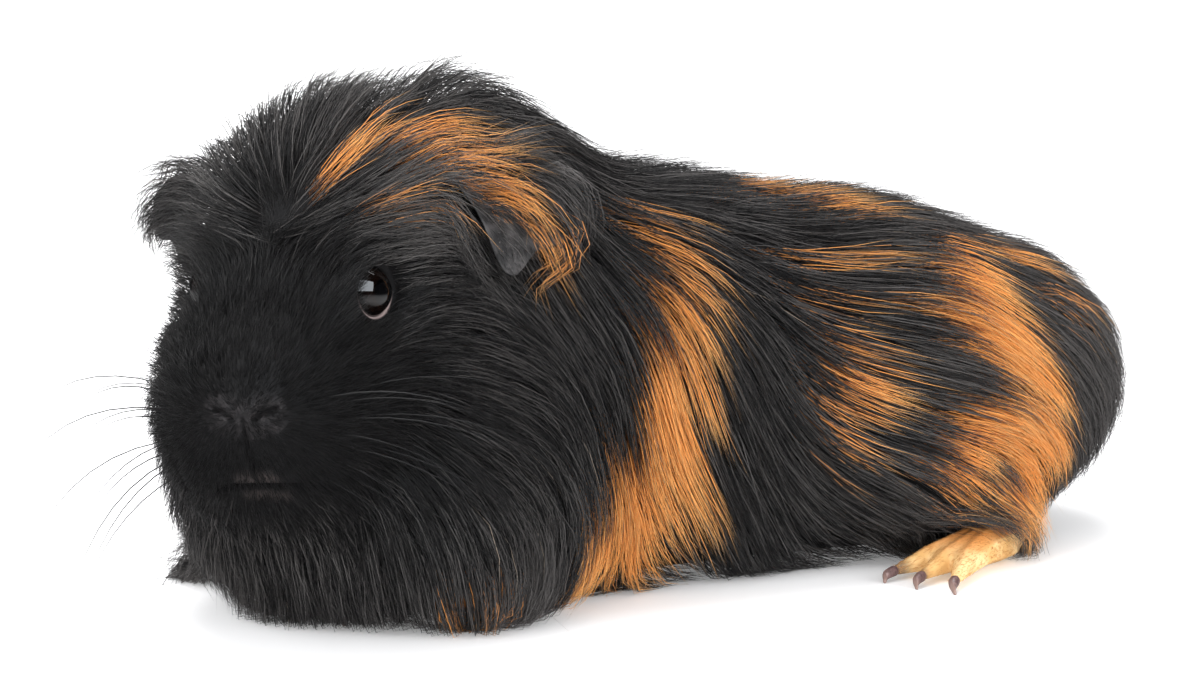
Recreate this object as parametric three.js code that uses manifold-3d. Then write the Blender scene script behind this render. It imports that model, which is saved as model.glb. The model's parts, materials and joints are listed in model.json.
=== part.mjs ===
// A long-haired, crested guinea pig lying at rest with its head turned to its left, life size.
// Millimetres, +Z up, +X the way the trunk faces, +Y the animal's left; the floor is Z = 0.
// The solids reach out to the tips of the coat, and the feet, claws, ears and eyes are bare.
import * as THREE from "three";
import { mergeVertices } from "three/addons/utils/BufferGeometryUtils.js";
import Module from "manifold-3d";

const wasm = await Module();
wasm.setup();

// ---------------------------------------------------------------- driving dimensions
const GAP = 0.3; // clearance between neighbouring pieces
const BLEND = 5; // how softly the masses of the body run into each other
const FLOOR = 0;
const REACH = 100; // further out from the spine than any part of the body

// The head, placed by the middle of the skull; turned to the left and tipped a little down.
const HEAD = { at: [80, 24, 64], yaw: 46, pitch: 8, roll: 0 };

// An eye sits in a short cone that opens outwards, from the ball's radius times its root.
const EYE = { at: [14.5, 15.2, 8.6], radius: 5.6 };
const EYE_HOLLOW = { root: 0.8, opening: 9.5, outlook: [3, 9, 1.5] };
// An ear is a petal along a curve that leaves the head and hangs over; its face is turned forward.
const EAR = {
  curve: [[-14, 22, 21], [-16, 32, 24], [-15, 38.5, 17], [-13, 39.5, 7]],
  across: [-0.8, 0.55, -0.1],
  width: 23,
  thickness: 2.4,
  curl: 3,
  notch: { at: 0.25, width: 0.3, depth: 0.14 },
};
// A foot starts at its heel or wrist and runs forward, turned out; its toes fan from the ball.
const HIND_FOOT = {
  from: [-92, 41], turnOut: 24, length: 47, radius: 6,
  toes: { fans: [-13, 1, 16], share: 0.36, radius: 3 },
  claw: { length: 6, radius: 1.35 },
};
const FORE_FOOT = {
  from: [52, 20], turnOut: 4, length: 27, radius: 4.4,
  toes: { fans: [-28, -9, 9, 28], share: 0.45, radius: 2.2 },
  claw: { length: 4.5, radius: 1.05 },
};
// The coat hangs clear of the fore feet, which stay hidden under it.
const FORE_POCKET = { at: [70, 21, 2], size: [27, 16, 10], turn: [0, 0, 4] };
const HEEL_SPREAD = 0.05; // the bones start this far apart for each degree of fan
const BALL = { fan: 0.35, lift: 1.4 }; // the share of a toe's fan behind the ball, and its height
const THINNING = 1.4; // a foot has thinned to its toes before their ends
const SUNK = 0.8; // soles are pressed this flat on the floor
// The point's radius, the fall over the length, and how far along the bend comes.
const CLAW = { tip: 0.4, drop: 0.35, bend: 0.6 };

// How many sides, rings and turns the rounded pieces have.
const BODY_SEGMENTS = { around: 40, along: 25, cap: 7 };
const HEADWARD = 1.25; // above 1, more of the body's rings are towards the head
const BALL_SEGMENTS = [14, 8]; // eyes, ears and regions
const TOE_SEGMENTS = [6, 4];
const CLAW_SEGMENTS = [6, 2];

// Planes that part the body: how far along its spine, and how far they lean forward below.
const CUTS = {
  crown: { t: 0.8, lean: 42 },
  withers: { t: 0.66, lean: 32 },
  loins: { t: 0.25, lean: 0 },
};

// ---------------------------------------------------------------- masses of the body
// Each mass is an ellipsoid: its middle, its three half sizes, and its turn about X, Y, Z.
const TRUNK_MASSES = {
  rump: { at: [-101, 0, 38], size: [46, 44, 37] },
  loin: { at: [-60, 0, 44], size: [52, 49, 43] },
  ribs: { at: [-10, 0, 47], size: [54, 48, 45] },
  shoulders: { at: [38, 1, 46], size: [42, 44, 48] },
  mane: { at: [38, 8, 69], size: [36, 32, 44], turn: [0, 12, 20] },
  breast: { at: [58, -4, 30], size: [34, 36, 34], turn: [0, 0, 20] },
  chestRuff: { at: [70, 20, 26], size: [36, 40, 30], turn: [0, 0, 40] },
  leftElbow: { at: [50, 40, 16], size: [26, 20, 20], turn: [0, 0, 12] },
  rightElbow: { at: [46, -28, 16], size: [26, 20, 20], turn: [0, 0, -8] },
};
const PAIRED_TRUNK_MASSES = {
  thigh: { at: [-74, 26, 25], size: [42, 25, 28], turn: [0, 0, 8] },
  skirt: { at: [-14, 24, 13], size: [68, 21, 15] },
};
const HEAD_MASSES = {
  skull: { at: [-8, 0, 4], size: [32, 25, 25] },
  muzzle: { at: [19, 0, -10], size: [24, 19, 21] },
  nose: { at: [36, 0, -8], size: [7.5, 9, 9] },
  chin: { at: [25, 0, -28], size: [13, 12, 9] },
  crest: { at: [-15, 0, 27], size: [26, 26, 17] },
  throat: { at: [-8, 0, -26], size: [26, 26, 20] },
};
const PAIRED_HEAD_MASSES = {
  whiskerPad: { at: [30, 8.5, -18], size: [12.5, 11, 13] },
  cheek: { at: [-4, 17, -15], size: [30, 20, 24] },
  brow: { at: [3, 13, 18], size: [15, 9, 8] },
};

// The region of the body that belongs to a leg: its flesh and the coat over it.
const LEG_REGIONS = {
  hind: { at: [-74, 44, 18], size: [40, 26, 38], turn: [0, 0, 12] },
  fore: { at: [50, 54, 12], size: [26, 26, 30], turn: [0, 0, 12] },
};

// ---------------------------------------------------------------- placing
const degrees = THREE.MathUtils.degToRad;
const vector = ([x, y, z]) => new THREE.Vector3(x, y, z);
const mirrored = ([x, y, z = 0], side) => [x, y * side, z];

function placement(at, [roll, pitch, yaw] = [0, 0, 0]) {
  const turn = new THREE.Euler(degrees(roll), degrees(pitch), degrees(yaw), "ZYX");
  return new THREE.Matrix4().makeRotationFromEuler(turn).setPosition(vector(at));
}

const BODY_FRAME = new THREE.Matrix4();
const HEAD_FRAME = placement(HEAD.at, [HEAD.roll, HEAD.pitch, HEAD.yaw]);
const onHead = (point) => vector(point).applyMatrix4(HEAD_FRAME);

// ---------------------------------------------------------------- the form as a field
function mass({ at, size, turn }, frame, side = 1) {
  const [roll, pitch, yaw] = turn ?? [0, 0, 0];
  const place = placement(mirrored(at, side), [roll * side, pitch, yaw * side]);
  return { size, toLocal: place.premultiply(frame).invert() };
}

function masses(single, paired, frame) {
  return [
    ...Object.values(single).map((m) => mass(m, frame)),
    ...Object.values(paired).flatMap((m) => [mass(m, frame, 1), mass(m, frame, -1)]),
  ];
}

const local = new THREE.Vector3();
const TINY = 1e-9;

function ellipsoidDistance({ size: [a, b, c], toLocal }, point) {
  local.copy(point).applyMatrix4(toLocal);
  const near = Math.hypot(local.x / a, local.y / b, local.z / c);
  const slope = Math.hypot(local.x / (a * a), local.y / (b * b), local.z / (c * c));
  return slope < TINY ? -Math.min(a, b, c) : (near * (near - 1)) / slope;
}

// Distance to the softly joined surface of all the masses; negative inside.
function fieldOf(list, blend) {
  return (point) => {
    let sum = 0;
    for (const m of list) sum += Math.exp(-ellipsoidDistance(m, point) / blend);
    return -blend * Math.log(sum);
  };
}

const WHOLE_FORM = fieldOf(
  [
    ...masses(TRUNK_MASSES, PAIRED_TRUNK_MASSES, BODY_FRAME),
    ...masses(HEAD_MASSES, PAIRED_HEAD_MASSES, HEAD_FRAME),
  ],
  BLEND,
);

// ---------------------------------------------------------------- solids
const AWAY = 400; // a half space is a box this large
const SAME_POINT = 1e-3; // corners closer than this are one
const MARCH = { steps: 60, stride: 0.8 }; // how a ray walks in to the form
const BLUNT = { power: 8, least: 0.12 }; // how late and how far a round bar's ends draw in

function toSolid(geometry) {
  const bare = geometry.index ? geometry.toNonIndexed() : geometry.clone();
  bare.deleteAttribute("normal");
  bare.deleteAttribute("uv");
  const merged = mergeVertices(bare, SAME_POINT);
  const corners = merged.index.array;
  const whole = [];
  for (let i = 0; i < corners.length; i += 3) {
    const [a, b, c] = corners.subarray(i, i + 3);
    if (a !== b && b !== c && c !== a) whole.push(a, b, c);
  }
  return new wasm.Manifold(
    new wasm.Mesh({
      numProp: 3,
      vertProperties: merged.attributes.position.array,
      triVerts: new Uint32Array(whole),
    }),
  );
}

function toGeometry(solid) {
  const { vertProperties, triVerts } = solid.getMesh();
  const geometry = new THREE.BufferGeometry();
  geometry.setAttribute("position", new THREE.BufferAttribute(vertProperties, 3));
  geometry.setIndex(new THREE.BufferAttribute(triVerts, 1));
  return geometry;
}

// Everything on the side of a plane that its normal points to.
function halfSpace(point, normal) {
  const box = new THREE.BoxGeometry(AWAY, AWAY, AWAY).translate(0, 0, AWAY / 2);
  const up = new THREE.Vector3(0, 0, 1);
  box.applyQuaternion(new THREE.Quaternion().setFromUnitVectors(up, normal.clone().normalize()));
  return toSolid(box.translate(point.x, point.y, point.z));
}

const ABOVE_FLOOR = halfSpace(vector([0, 0, FLOOR]), vector([0, 0, 1]));

// Across and up at a point of a spine, level with the floor as far as the spine allows.
function crossFrame(spine, t) {
  const along = spine.getTangentAt(t);
  const across = new THREE.Vector3(0, 0, 1).cross(along).normalize();
  return { along, across, up: along.clone().cross(across) };
}

// A capsule draped over a form: each corner leaves the spine along the capsule's normal
// and stops where the form, grown by an allowance, ends.
function drape({ spine, form, spacing, grow, around, along, cap }) {
  const capsule = new THREE.CapsuleGeometry(1, 1, cap, around, along);
  const { position, normal } = capsule.attributes;
  const from = new THREE.Vector3();
  const way = new THREE.Vector3();
  const at = new THREE.Vector3();
  for (let i = 0; i < position.count; i++) {
    const height = THREE.MathUtils.clamp(position.getY(i) + 0.5, 0, 1);
    const t = spacing(height);
    const frame = crossFrame(spine, t);
    from.copy(spine.getPointAt(t));
    way
      .set(0, 0, 0)
      .addScaledVector(frame.along, normal.getY(i))
      .addScaledVector(frame.across, normal.getX(i))
      .addScaledVector(frame.up, -normal.getZ(i))
      .normalize();
    let reach = REACH;
    for (let step = 0; step < MARCH.steps; step++) {
      at.copy(from).addScaledVector(way, reach);
      reach -= MARCH.stride * (form(at) - grow);
    }
    position.setXYZ(i, at.x, at.y, at.z);
  }
  return toSolid(capsule);
}

// A round tapering bar along a curve, with flat ends.
function taper(curve, radiusAt, sides, steps) {
  const bar = new THREE.CylinderGeometry(1, 1, 1, sides, steps);
  const { position } = bar.attributes;
  for (let i = 0; i < position.count; i++) {
    const t = THREE.MathUtils.clamp(0.5 + position.getY(i), 0, 1);
    const { along, across } = crossFrame(curve, t);
    const up = along.clone().cross(across);
    const at = curve.getPointAt(t);
    at.addScaledVector(across, position.getX(i) * radiusAt(t));
    at.addScaledVector(up, -position.getZ(i) * radiusAt(t));
    position.setXYZ(i, at.x, at.y, at.z);
  }
  return toSolid(bar);
}

// The same bar with ends drawn in to blunt points.
function roundBar(curve, radiusAt, sides, steps) {
  const drawnIn = (t) => Math.sqrt(Math.max(BLUNT.least, 1 - Math.pow(2 * t - 1, BLUNT.power)));
  return taper(curve, (t) => radiusAt(t) * drawnIn(t), sides, steps);
}

// Swaps the faces of a shape from inside out.
function turnedOut(geometry) {
  const { index } = geometry;
  for (let i = 0; i < index.count; i += 3) {
    const first = index.getX(i);
    index.setX(i, index.getX(i + 1));
    index.setX(i + 1, first);
  }
  return geometry;
}

function egg({ at, size, turn }, side, grow = 0) {
  const [roll, pitch, yaw] = turn;
  const ball = new THREE.SphereGeometry(1, ...BALL_SEGMENTS);
  ball.scale(...size.map((half) => half + grow));
  return toSolid(ball.applyMatrix4(placement(mirrored(at, side), [roll * side, pitch, yaw * side])));
}

// ---------------------------------------------------------------- the body, whole
const HEAD_END = [22, 0, -9]; // where the spine stops inside the muzzle, in the head's frame
// It bends evenly, so that nothing draped over it crosses itself on the inside of the bend.
const SPINE = new THREE.CatmullRomCurve3([
  vector([-96, 0, 38]),
  vector([-48, -2, 43]),
  vector([0, -3, 48]),
  vector([32, 1, 54]),
  vector([64, 14, 60]),
  onHead(HEAD_END),
]);
const towardsHead = (t) => 1 - Math.pow(1 - t, HEADWARD);

const bodyShape = (grow = 0) =>
  drape({ spine: SPINE, form: WHOLE_FORM, spacing: towardsHead, grow, ...BODY_SEGMENTS });

// ---------------------------------------------------------------- eyes
function eye(side, grow = 0) {
  const ball = new THREE.SphereGeometry(EYE.radius + grow, ...BALL_SEGMENTS);
  return toSolid(ball.translate(...onHead(mirrored(EYE.at, side)).toArray()));
}

function eyeHollow(side) {
  const { root, opening, outlook } = EYE_HOLLOW;
  const outward = EYE.at.map((value, axis) => value + outlook[axis]);
  const ends = [EYE.at, outward].map((point) => onHead(mirrored(point, side)));
  const flare = (t) => THREE.MathUtils.lerp(EYE.radius * root, opening, t);
  return eye(side, GAP).add(taper(new THREE.LineCurve3(...ends), flare, BALL_SEGMENTS[0], 1));
}

// ---------------------------------------------------------------- ears
function ear(side) {
  const leaf = new THREE.SphereGeometry(1, ...BALL_SEGMENTS);
  const { position } = leaf.attributes;
  const curve = new THREE.CatmullRomCurve3(EAR.curve.map((p) => vector(mirrored(p, side))));
  const across = vector(mirrored(EAR.across, side)).normalize();
  for (let i = 0; i < position.count; i++) {
    const breadth = position.getX(i);
    const fromNotch = (breadth - EAR.notch.at) / EAR.notch.width;
    const reach = 1 - EAR.notch.depth * Math.exp(-fromNotch * fromNotch);
    const t = THREE.MathUtils.clamp(((position.getY(i) + 1) / 2) * reach, 0, 1);
    const z = position.getZ(i);
    const along = curve.getTangent(t);
    const face = along.clone().cross(across).multiplyScalar(side).normalize();
    const blunt = Math.sign(z) * Math.sqrt(Math.abs(z)) * (EAR.thickness / 2);
    const at = curve.getPoint(t);
    at.addScaledVector(across, (breadth * EAR.width) / 2);
    at.addScaledVector(face, EAR.curl * breadth * breadth + blunt);
    position.setXYZ(i, ...at.applyMatrix4(HEAD_FRAME).toArray());
  }
  return toSolid(side > 0 ? turnedOut(leaf) : leaf);
}

// ---------------------------------------------------------------- feet and claws
const heading = (angle) => new THREE.Vector3(Math.cos(degrees(angle)), Math.sin(degrees(angle)), 0);

// The path of each toe, from the heel or wrist over the ball of the foot to the toe's end.
function toePaths({ from, turnOut, length, radius, toes }, side) {
  const heel = vector(mirrored(from, side));
  heel.z = radius * SUNK;
  return toes.fans.map((fan) => {
    const way = heading((turnOut + fan) * side);
    const start = heel.clone().setY(heel.y + fan * side * HEEL_SPREAD);
    const ballWay = heading((turnOut + fan * BALL.fan) * side);
    const ball = start.clone().addScaledVector(ballWay, length * (1 - toes.share));
    const end = ball.clone().addScaledVector(way, length * toes.share);
    ball.z = toes.radius * BALL.lift;
    end.z = toes.radius * SUNK;
    return { way, end, curve: new THREE.CatmullRomCurve3([start, ball, end]) };
  });
}

function foot(paths, { radius, toes }, grow = 0) {
  const thinned = (t) => THREE.MathUtils.lerp(radius, toes.radius, Math.min(1, t * THINNING));
  const bars = paths.map(({ curve }) => roundBar(curve, (t) => thinned(t) + grow, ...TOE_SEGMENTS));
  return bars.reduce((solid, bar) => solid.add(bar));
}

function clawAt({ way, end }, { claw }) {
  const root = end.clone().addScaledVector(way, GAP);
  const tip = end.clone().addScaledVector(way, claw.length);
  tip.z -= claw.length * CLAW.drop;
  const over = root.clone().lerp(tip, CLAW.bend);
  over.z = root.z;
  const curve = new THREE.QuadraticBezierCurve3(root, over, tip);
  return taper(curve, (t) => THREE.MathUtils.lerp(claw.radius, CLAW.tip, t), ...CLAW_SEGMENTS);
}

// ---------------------------------------------------------------- parting
// A plane across the spine, as the two half spaces a gap apart. It leans forward below.
function cutAt({ t, lean }) {
  const { along, up } = crossFrame(SPINE, t);
  const normal = along.multiplyScalar(Math.cos(degrees(lean)));
  normal.addScaledVector(up, Math.sin(degrees(lean)));
  const at = SPINE.getPointAt(t);
  return {
    ahead: halfSpace(at.clone().addScaledVector(normal, GAP / 2), normal),
    behind: halfSpace(at.clone().addScaledVector(normal, -GAP / 2), normal.clone().negate()),
  };
}

// ---------------------------------------------------------------- assembling
const coat = new THREE.MeshStandardMaterial({ color: 0x1b1817, roughness: 0.7, metalness: 0 });
const bareSkin = new THREE.MeshStandardMaterial({ color: 0x3a3433, roughness: 0.6, metalness: 0 });
const gingerCoat = new THREE.MeshStandardMaterial({ color: 0xc98a45, roughness: 0.7, metalness: 0 });
const eyeball = new THREE.MeshStandardMaterial({ color: 0x0b0706, roughness: 0.08, metalness: 0 });
const horn = new THREE.MeshStandardMaterial({ color: 0x5c4644, roughness: 0.45, metalness: 0 });

const guineaPig = new THREE.Group();
const SIDES = { left: 1, right: -1 };

// A cut can leave slivers of no volume beside the piece, so only the piece itself is kept.
function part(name, solid, material) {
  const pieces = toSolid(toGeometry(solid)).decompose();
  const [largest] = pieces.sort((a, b) => b.volume() - a.volume());
  const mesh = new THREE.Mesh(toGeometry(largest), material);
  mesh.name = name;
  guineaPig.add(mesh);
}

const grownBody = bodyShape(GAP);
let body = bodyShape().intersect(ABOVE_FLOOR);

for (const [name, side] of Object.entries(SIDES)) {
  part("eye_" + name, eye(side), eyeball);
  part("ear_" + name, ear(side).subtract(grownBody), bareSkin);
  body = body.subtract(eyeHollow(side)).subtract(egg(FORE_POCKET, side));
  for (const [place, shape] of Object.entries({ fore: FORE_FOOT, hind: HIND_FOOT })) {
    const toes = toePaths(shape, side);
    part(`foot_${place}_${name}`, foot(toes, shape).intersect(ABOVE_FLOOR), gingerCoat);
    toes.forEach((toe, i) => {
      part(`claw_${place}_${name}_${i + 1}`, clawAt(toe, shape).intersect(ABOVE_FLOOR), horn);
    });
    if (place === "hind") body = body.subtract(foot(toes, shape, GAP));
  }
}

// The head and the neck each come off the front and leave the rest for the next cut.
const crown = cutAt(CUTS.crown);
const withers = cutAt(CUTS.withers);
const loins = cutAt(CUTS.loins);
part("head", body.intersect(crown.ahead), coat);
let rest = body.intersect(crown.behind);
part("neck", rest.intersect(withers.ahead), coat);
rest = rest.intersect(withers.behind);
for (const [name, side] of Object.entries(SIDES)) {
  for (const [place, region] of Object.entries(LEG_REGIONS)) {
    part(`leg_${place}_${name}`, rest.intersect(egg(region, side)), coat);
    rest = rest.subtract(egg(region, side, GAP));
  }
}
part("trunk", rest.intersect(loins.ahead), coat);
part("rump", rest.intersect(loins.behind), coat);

// The origin is the middle of the footprint of its box, on the floor.
const box = new THREE.Box3().setFromObject(guineaPig);
const middle = box.getCenter(new THREE.Vector3());
guineaPig.position.set(-middle.x, -middle.y, -box.min.z);

export default guineaPig;
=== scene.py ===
"""A crested, long-haired guinea pig lying at rest, life size.

One skin is shaped from the solids of the flesh, and the coat is laid over it in locks of hair.
Shaping is done in millimetres, and each mesh is turned to metres as it is made.
+Z is up, +X the way the trunk faces, +Y the animal's left. The head has a frame of its own:
+X out of the nose, +Y its left, +Z its crown, with the origin inside the skull.
"""
import json
import math

import bpy
import numpy as np
from bpy.props import FloatProperty, FloatVectorProperty, IntProperty, PointerProperty
from mathutils import Matrix, Vector
from mathutils.bvhtree import BVHTree

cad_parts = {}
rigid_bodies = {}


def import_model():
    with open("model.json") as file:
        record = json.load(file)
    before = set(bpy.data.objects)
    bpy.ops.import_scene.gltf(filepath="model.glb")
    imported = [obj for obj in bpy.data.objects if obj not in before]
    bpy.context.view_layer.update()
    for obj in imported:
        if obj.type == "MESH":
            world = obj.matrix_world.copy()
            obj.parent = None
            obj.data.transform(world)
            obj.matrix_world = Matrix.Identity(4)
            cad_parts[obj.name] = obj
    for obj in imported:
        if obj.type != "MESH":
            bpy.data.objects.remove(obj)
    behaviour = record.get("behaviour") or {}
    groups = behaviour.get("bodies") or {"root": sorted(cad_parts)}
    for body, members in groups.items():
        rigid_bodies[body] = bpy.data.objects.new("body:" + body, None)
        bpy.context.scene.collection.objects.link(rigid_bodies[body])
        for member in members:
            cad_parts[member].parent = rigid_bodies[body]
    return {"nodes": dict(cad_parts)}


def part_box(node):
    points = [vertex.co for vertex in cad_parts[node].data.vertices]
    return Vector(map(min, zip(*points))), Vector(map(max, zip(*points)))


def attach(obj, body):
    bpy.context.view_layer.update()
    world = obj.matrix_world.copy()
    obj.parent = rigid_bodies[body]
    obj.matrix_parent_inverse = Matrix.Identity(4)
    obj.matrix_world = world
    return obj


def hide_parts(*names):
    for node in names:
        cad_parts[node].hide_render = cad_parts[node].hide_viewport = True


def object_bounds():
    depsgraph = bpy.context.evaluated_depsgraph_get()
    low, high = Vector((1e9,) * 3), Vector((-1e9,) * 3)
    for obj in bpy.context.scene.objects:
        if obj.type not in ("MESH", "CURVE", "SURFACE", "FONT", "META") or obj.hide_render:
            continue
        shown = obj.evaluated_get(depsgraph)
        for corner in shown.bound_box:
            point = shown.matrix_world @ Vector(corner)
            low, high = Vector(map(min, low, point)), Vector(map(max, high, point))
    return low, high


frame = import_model()
CAD_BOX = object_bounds()

bl_info = {
    "name": "Crested guinea pig",
    "version": (1, 0, 0),
    "blender": (4, 5, 0),
    "location": "View3D > Sidebar > Guinea pig",
    "description": "Builds the skin, eyes, claws and long coat of a crested guinea pig at rest",
    "category": "Object",
}

MM = 0.001
SIDES = {"left": 1, "right": -1}
FEET = ("fore", "hind")
LEGS = [f"leg_{place}_{side}" for place in FEET for side in SIDES]
FLESH = ["head", "neck", "trunk", "rump", *LEGS]
FEET_NODES = [f"foot_{place}_{side}" for place in FEET for side in SIDES]
GAP_FILL = 0.25  # each solid swells by this, so that neighbours meet
SAME_PLACE = 1e-6  # vertices nearer each other than this, in metres, are one
SMOOTHING = 0.5

# ------------------------------------------------------------------ the head's own frame
HEAD_YAW = math.radians(46)
HEAD_PITCH = math.radians(8)
EYE_IN_HEAD = np.array([14.5, 15.2, 8.6])
HEAD_TURN = np.array(Matrix.Rotation(HEAD_YAW, 3, "Z") @ Matrix.Rotation(HEAD_PITCH, 3, "Y"))


def node_middle(name):
    """The middle of a solid's box, in millimetres."""
    low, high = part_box(name)
    return np.array((low + high) / 2) / MM


BETWEEN_EYES = (node_middle("eye_left") + node_middle("eye_right")) / 2
HEAD_ORIGIN = BETWEEN_EYES - HEAD_TURN @ (EYE_IN_HEAD * (1, 0, 1))


def on_head(points):
    """From the head's frame to the row frame."""
    return HEAD_ORIGIN + np.asarray(points, float) @ HEAD_TURN.T


def in_head(points):
    """From the row frame to the head's frame."""
    return (np.asarray(points, float) - HEAD_ORIGIN) @ HEAD_TURN


def mirrored(values, side):
    """A point or direction with its left and right swapped where side is -1."""
    return np.asarray(values, float) * (1, side, 1)


# ------------------------------------------------------------------ small helpers
def unit(vectors):
    length = np.linalg.norm(vectors, axis=-1, keepdims=True)
    return vectors / np.maximum(length, 1e-9)


def smoothstep(low, high, value):
    t = np.clip((value - low) / (high - low), 0, 1)
    return t * t * (3 - 2 * t)


def deselect_all():
    for other in bpy.context.view_layer.objects:
        other.select_set(False)


def only(obj):
    """Deselects everything else and makes obj the active object."""
    deselect_all()
    obj.select_set(True)
    bpy.context.view_layer.objects.active = obj


def points_of(obj):
    """A mesh's vertices in millimetres."""
    flat = np.empty(len(obj.data.vertices) * 3)
    obj.data.vertices.foreach_get("co", flat)
    return flat.reshape(-1, 3) / MM


def set_points(obj, points):
    obj.data.vertices.foreach_set("co", (np.asarray(points) * MM).ravel())
    obj.data.update()


def normals_of(obj):
    flat = np.empty(len(obj.data.vertices) * 3, np.float32)
    obj.data.vertex_normals.foreach_get("vector", flat)
    return flat.reshape(-1, 3).astype(float)


def apply_modifier(obj, kind, **settings):
    """Adds a modifier with these settings and applies it."""
    only(obj)
    modifier = obj.modifiers.new(kind.title(), kind)
    for key, value in settings.items():
        setattr(modifier, key, value)
    bpy.ops.object.modifier_apply(modifier=modifier.name)


def in_edit_mode(obj, action):
    only(obj)
    bpy.ops.object.mode_set(mode="EDIT")
    action()
    bpy.ops.object.mode_set(mode="OBJECT")


def shade_smooth(obj):
    only(obj)
    bpy.ops.object.shade_smooth()


def merge_doubles(obj):
    def merge():
        bpy.ops.mesh.select_all(action="SELECT")
        bpy.ops.mesh.remove_doubles(threshold=SAME_PLACE)
        bpy.ops.mesh.normals_make_consistent(inside=False)

    in_edit_mode(obj, merge)


def copy_of_nodes(nodes, name):
    """One new object holding copies of these solids, each merged and swollen to close the gaps."""
    copies = []
    for node in nodes:
        source = frame["nodes"][node]
        copy = linked(f"{name}_{node}", source.data.copy())
        copy.data.materials.clear()
        merge_doubles(copy)
        set_points(copy, points_of(copy) + normals_of(copy) * GAP_FILL)
        copies.append(copy)
    joined_into(copies[0], copies[1:])
    copies[0].name = name
    return copies[0]


def joined_into(target, extras):
    only(target)
    for extra in extras:
        extra.select_set(True)
    if extras:
        bpy.ops.object.join()


def remesh(obj, size):
    obj.data.remesh_voxel_size = size * MM
    obj.data.use_remesh_fix_poles = False
    only(obj)
    bpy.ops.object.voxel_remesh()


def smooth_surface(obj, times):
    apply_modifier(obj, "SMOOTH", factor=SMOOTHING, iterations=times)


def store(mesh, name, values):
    """Writes a value for each vertex, which a material reads by this name."""
    layer = mesh.attributes.new(name, "FLOAT", "POINT")
    layer.data.foreach_set("value", np.asarray(values, np.float32))


def linked(name, data):
    """A new object with this data, in the scene."""
    obj = bpy.data.objects.new(name, data)
    bpy.context.collection.objects.link(obj)
    return obj


def face_values(obj, name):
    """A vector for each face of a mesh, such as its center or normal."""
    flat = np.empty(len(obj.data.polygons) * 3)
    obj.data.polygons.foreach_get(name, flat)
    return flat.reshape(-1, 3)


def face_slots(obj):
    """Which material slot each face has."""
    slots = np.empty(len(obj.data.polygons), np.int32)
    obj.data.polygons.foreach_get("material_index", slots)
    return slots


def refine(obj, spots):
    """Cuts the faces near the spots, given as (point, radius), into four, so that detail fits."""
    centres = face_values(obj, "center") / MM
    near = np.zeros(len(centres), bool)
    for point, radius in spots:
        near |= np.linalg.norm(centres - point, axis=1) < radius

    def cut():
        bpy.ops.mesh.select_mode(type="FACE")
        bpy.ops.mesh.select_all(action="DESELECT")
        bpy.ops.object.mode_set(mode="OBJECT")
        obj.data.polygons.foreach_set("select", near)
        obj.data.update()
        bpy.ops.object.mode_set(mode="EDIT")
        bpy.ops.mesh.subdivide(number_cuts=1)
        bpy.ops.mesh.vertices_smooth(factor=SMOOTHING, repeat=3)

    in_edit_mode(obj, cut)


def finished(obj, name, replaced, material=None):
    """Names a piece, rides it on the body and says what it stands for."""
    obj.name = obj.data.name = name
    if material:
        obj.data.materials.clear()
        obj.data.materials.append(material)
    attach(obj, "root")
    if replaced:
        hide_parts(*replaced)
    return obj


# ------------------------------------------------------------------ the groom of the coat
# Each place of the coat says where it is and how far it reaches, how the hair there is combed, how
# deep the coat is, how long its hair is, how wide a strand is, how many degrees it lifts and how
# far a lock draws together. Between places these run into each other. A comb is a direction, or
# one of the whorls, points that the hair runs away from.
PLACE_VALUES = ("at", "reach", "comb", "depth", "length", "width", "lift", "clump")
GROOM_VALUES = ("depth", "length", "width", "lift", "clump")
NOSE = (46, 2.3, -8)
ROSETTE = (10, -2.5, 23)
WHORLS = (NOSE, ROSETTE)
HEAD_PLACES = {
    "nose": (NOSE, 6, NOSE, 0.4, 1.4, 0.13, 4, 0.1),
    "bridge": ((36, 0, 4), 9, (-0.75, 0, 0.65), 1.8, 4.8, 0.16, 25, 0.3),
    "brow_middle": ((25, 0, 14), 9, (-0.5, 0, 0.8), 3.5, 11, 0.2, 26, 0.5),
    "rosette": ((12, -2, 23), 11, ROSETTE, 7, 14, 0.24, 25, 0.5),
    "crown": ((-10, 0, 32), 12, (-0.9, 0, 0.3), 9.8, 24, 0.26, 28, 0.5),
    "far_temple": ((0, -32, 12), 7, (-0.1, -0.85, 0.4), 6, 16, 0.22, 45, 0.4),
    "nape": ((-34, 0, 26), 14, (-1, 0, -0.1), 9.5, 34, 0.29, 30, 0.6),
    "chin": ((36, 0, -31), 6, (-0.35, 0, -0.9), 2.5, 7, 0.18, 20, 0.3),
    "throat": ((18, 0, -42), 13, (-0.5, 0, -0.85), 7, 22, 0.23, 15, 0.5),
}
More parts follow.
